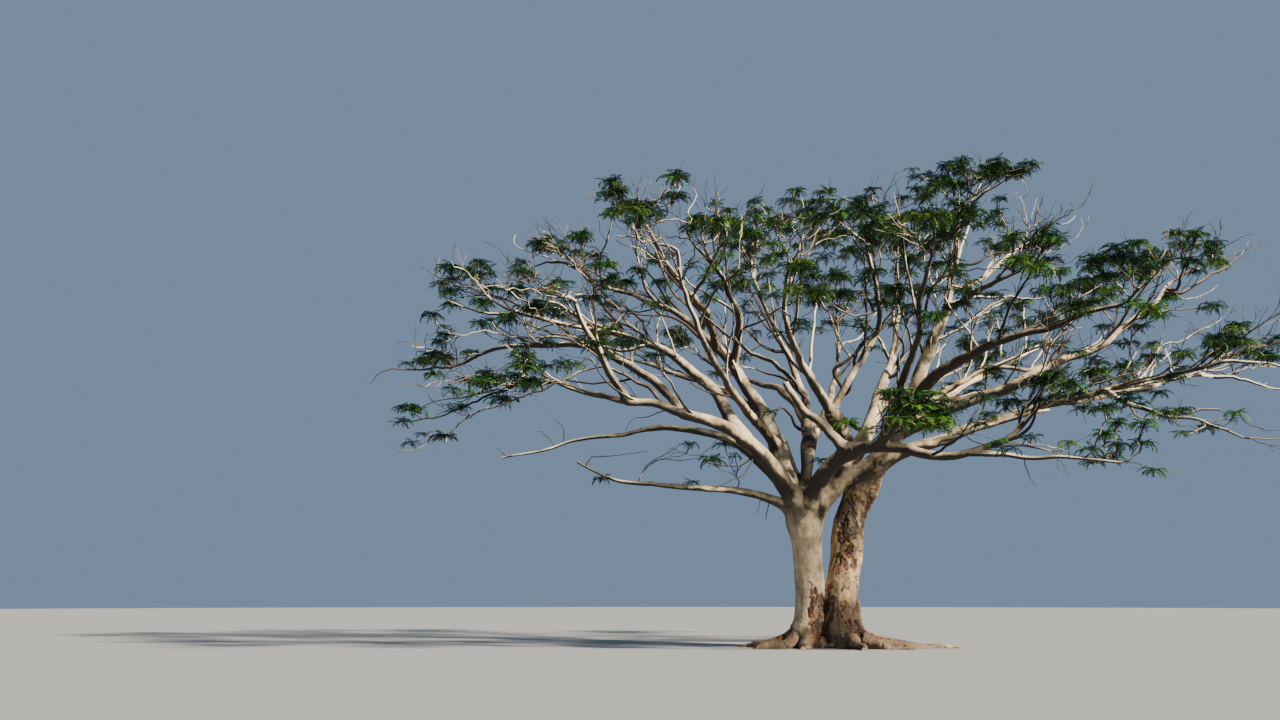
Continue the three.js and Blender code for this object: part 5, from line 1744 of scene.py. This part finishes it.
def leaflet(rib, share, side):
    """Corners of one folded leaflet, on one side of the rib at a share of its length."""
    place = round(share * RIB_STEPS)
    forward = unit(rib[min(place + 1, RIB_STEPS)] - rib[min(place, RIB_STEPS - 1)])
    length = LEAFLET_LENGTH * math.sin(math.pi * (0.2 + 0.68 * share)) ** 0.8
    lean = 0.42 + 0.75 * share ** 2
    out = unit(np.array([0, side, 0]) + forward * lean + np.array([0, 0, -0.2 - 0.15 * share]))
    across = unit(np.cross(out, np.array([0, 0, 1.0]))) * LEAFLET_WIDTH
    fold = np.array([0, 0, -LEAFLET_FOLD])
    root = rib[place]
    middle = root + out * length * 0.5
    return [root, middle + across + fold, root + out * length, middle - across + fold]


def frond_shape(droop):
    """One feathery leaf of unit length along +X: a bent rib with folded leaflets in pairs."""
    rib = frond_rib(droop)
    half = RIB_STEPS // 2
    corners = []
    for k in range(2):
        a, b = rib[k * half], rib[k * half + half]
        width = np.array([0, RIB_WIDTH * (1 - k / 3), 0])
        corners.extend([a - width, a + width, b + width * 0.8, b - width * 0.8])
    for k in range(FROND_PAIRS):
        share = 0.16 + 0.84 * k / (FROND_PAIRS - 1)
        corners.extend(leaflet(rib, share, -1))
        corners.extend(leaflet(rib, share, 1))
    faces = [(base, base + j, base + j + 1) for base in range(0, len(corners), 4) for j in (1, 2)]
    return np.array(corners), np.array(faces)


frond_shapes = [frond_shape(droop) for droop in FROND_DROOPS]
leaf_random = dice(77)


def frond_frame(heading, pitch, roll):
    """Axes of a frond that points along a heading round the upright, pitched and rolled."""
    level = math.cos(pitch)
    ahead = np.array([math.cos(heading) * level, math.sin(heading) * level, math.sin(pitch)])
    side = np.array([-math.sin(heading), math.cos(heading), 0])
    top = np.cross(ahead, side)
    side, top = side * math.cos(roll) + top * math.sin(roll), top * math.cos(roll) - side * math.sin(roll)
    return np.array([ahead, side, top])


def fronds(home, spray):
    """Corners and faces of each frond of one spray."""
    _, heading, size, _, _ = spray
    start = 2 * math.pi * next(leaf_random)
    count = ROSETTE_FRONDS - 1 + int(3 * next(leaf_random))
    for i in range(count):
        inner = i / count
        pitch = math.radians(-12 + 50 * inner + 22 * (next(leaf_random) - 0.5))
        axes = frond_frame(start + i * TURN, pitch, 0.5 * (next(leaf_random) - 0.5))
        length = FROND_LENGTH * size * (0.78 + 0.4 * next(leaf_random)) * (1 - 0.2 * inner)
        corners, faces = frond_shapes[int(3 * next(leaf_random))]
        foot = home - heading * 0.05 * inner
        blade = foot + corners * length @ axes
        if in_box(blade.min(axis=0)) and in_box(blade.max(axis=0)):
            yield blade, faces


def triangle_mesh(name, places, triangles, slots):
    """A mesh of triangles, each in its material slot."""
    mesh = bpy.data.meshes.new(name)
    mesh.vertices.add(len(places))
    mesh.vertices.foreach_set("co", places.astype(np.float32).ravel())
    mesh.loops.add(triangles.size)
    mesh.loops.foreach_set("vertex_index", triangles.astype(np.int32).ravel())
    mesh.polygons.add(len(triangles))
    mesh.polygons.foreach_set("loop_start", np.arange(0, triangles.size, 3, dtype=np.int32))
    mesh.polygons.foreach_set("material_index", slots.astype(np.int32))
    mesh.update(calc_edges=True)
    return mesh


def leaf_mesh(name, chosen):
    """All the fronds of some sprays in one mesh, each spray with its own tint."""
    places, triangles, tints = [], [], []
    total = 0
    homes = swayed(np.array([spray[0] for spray in chosen]))
    for home, spray in zip(homes, chosen):
        draw, shine = spray[3:]
        tint = next(k for k, share in enumerate(LEAF_SHARES[shine]) if draw < share)
        for blade, faces in fronds(home, spray):
            places.append(blade)
            triangles.append(faces + total)
            tints.append(np.full(len(faces), tint))
            total += len(blade)
    mesh = triangle_mesh(name, np.concatenate(places), np.concatenate(triangles), np.concatenate(tints))
    for material in leaf_tints:
        mesh.materials.append(material)
    return mesh


# The pieces that the leaves are joined into, each with the stretch of X that it takes
LEAF_SECTORS = (
    ("leaves_far_left", -99, -4.9), ("leaves_left", -4.9, -1.9), ("leaves_middle", -1.9, 0.9),
    ("leaves_right", 0.9, 3.4), ("leaves_far_right", 3.4, 5.9), ("leaves_right_end", 5.9, 99),
)
for sector, low, high in LEAF_SECTORS:
    inside = [spray for spray in sprays if low <= spray[0][0] < high]
    stands_for = [f"{mass.name}_foliage" for mass in masses if low <= mass.centre[0] < high]
    show(sector, leaf_mesh(sector, inside), stands_for)


# Camera, light and floor

SENSOR_WIDTH = 36
VIEW_DEPTH = 500
SUN_WAY = (1.0, -0.5, 0.68)     # towards the sun
SUN_STRENGTH = 13.5
SUN_SOFTNESS = 4                # how wide it looks, in degrees
SUN_COLOR = (1.0, 0.92, 0.78)
BACKDROP_COLOR = (0.44, 0.63, 0.92, 1)
BACKDROP_STRENGTH = 0.42
FLOOR_COLOR = (0.27, 0.27, 0.26, 1)
FLOOR_RADIUS = 90


def add_camera():
    """The camera at the photograph's viewing angle."""
    data = bpy.data.cameras.new("camera")
    data.sensor_width = SENSOR_WIDTH
    data.lens = SENSOR_WIDTH * FOCAL_PIXELS / FRAME_WIDTH
    data.clip_end = VIEW_DEPTH
    holder = bpy.data.objects.new("camera", data)
    holder.location = CAMERA_PLACE
    holder.rotation_euler = [math.radians(angle) for angle in (90 + CAMERA_PITCH, 0, CAMERA_YAW)]
    scene.collection.objects.link(holder)
    scene.camera = holder


def add_sun(name, direction, strength, softness, color):
    """A soft far lamp that shines from a direction."""
    data = bpy.data.lights.new(name, "SUN")
    data.energy = strength
    data.angle = math.radians(softness)
    data.color = color
    holder = bpy.data.objects.new(name, data)
    aim = unit(np.array(direction, float))
    holder.rotation_euler = (math.acos(aim[2]), 0, math.atan2(aim[1], aim[0]) + math.pi / 2)
    scene.collection.objects.link(holder)


def add_backdrop():
    """An even backdrop that lights the shaded sides."""
    world = bpy.data.worlds.new("studio")
    world.use_nodes = True
    backdrop = world.node_tree.nodes["Background"]
    backdrop.inputs["Color"].default_value = BACKDROP_COLOR
    backdrop.inputs["Strength"].default_value = BACKDROP_STRENGTH
    scene.world = world


def add_floor():
    """A plain pale floor, which isn't part of the tree."""
    work = bmesh.new()
    bmesh.ops.create_circle(work, cap_ends=True, segments=96, radius=FLOOR_RADIUS)
    mesh = bpy.data.meshes.new("floor")
    work.to_mesh(mesh)
    work.free()
    floor = bpy.data.objects.new("floor", mesh)
    scene.collection.objects.link(floor)
    material, _, shader = new_material("pale_floor")
    shader.inputs["Base Color"].default_value = FLOOR_COLOR
    shader.inputs["Roughness"].default_value = 0.9
    mesh.materials.append(material)
    floor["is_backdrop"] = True


add_camera()
add_sun("key", SUN_WAY, SUN_STRENGTH, SUN_SOFTNESS, SUN_COLOR)
add_backdrop()
add_floor()

boxes = {"cad": cad_box, "visual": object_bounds()}
{key: [list(corner) for corner in box] for key, box in boxes.items()}
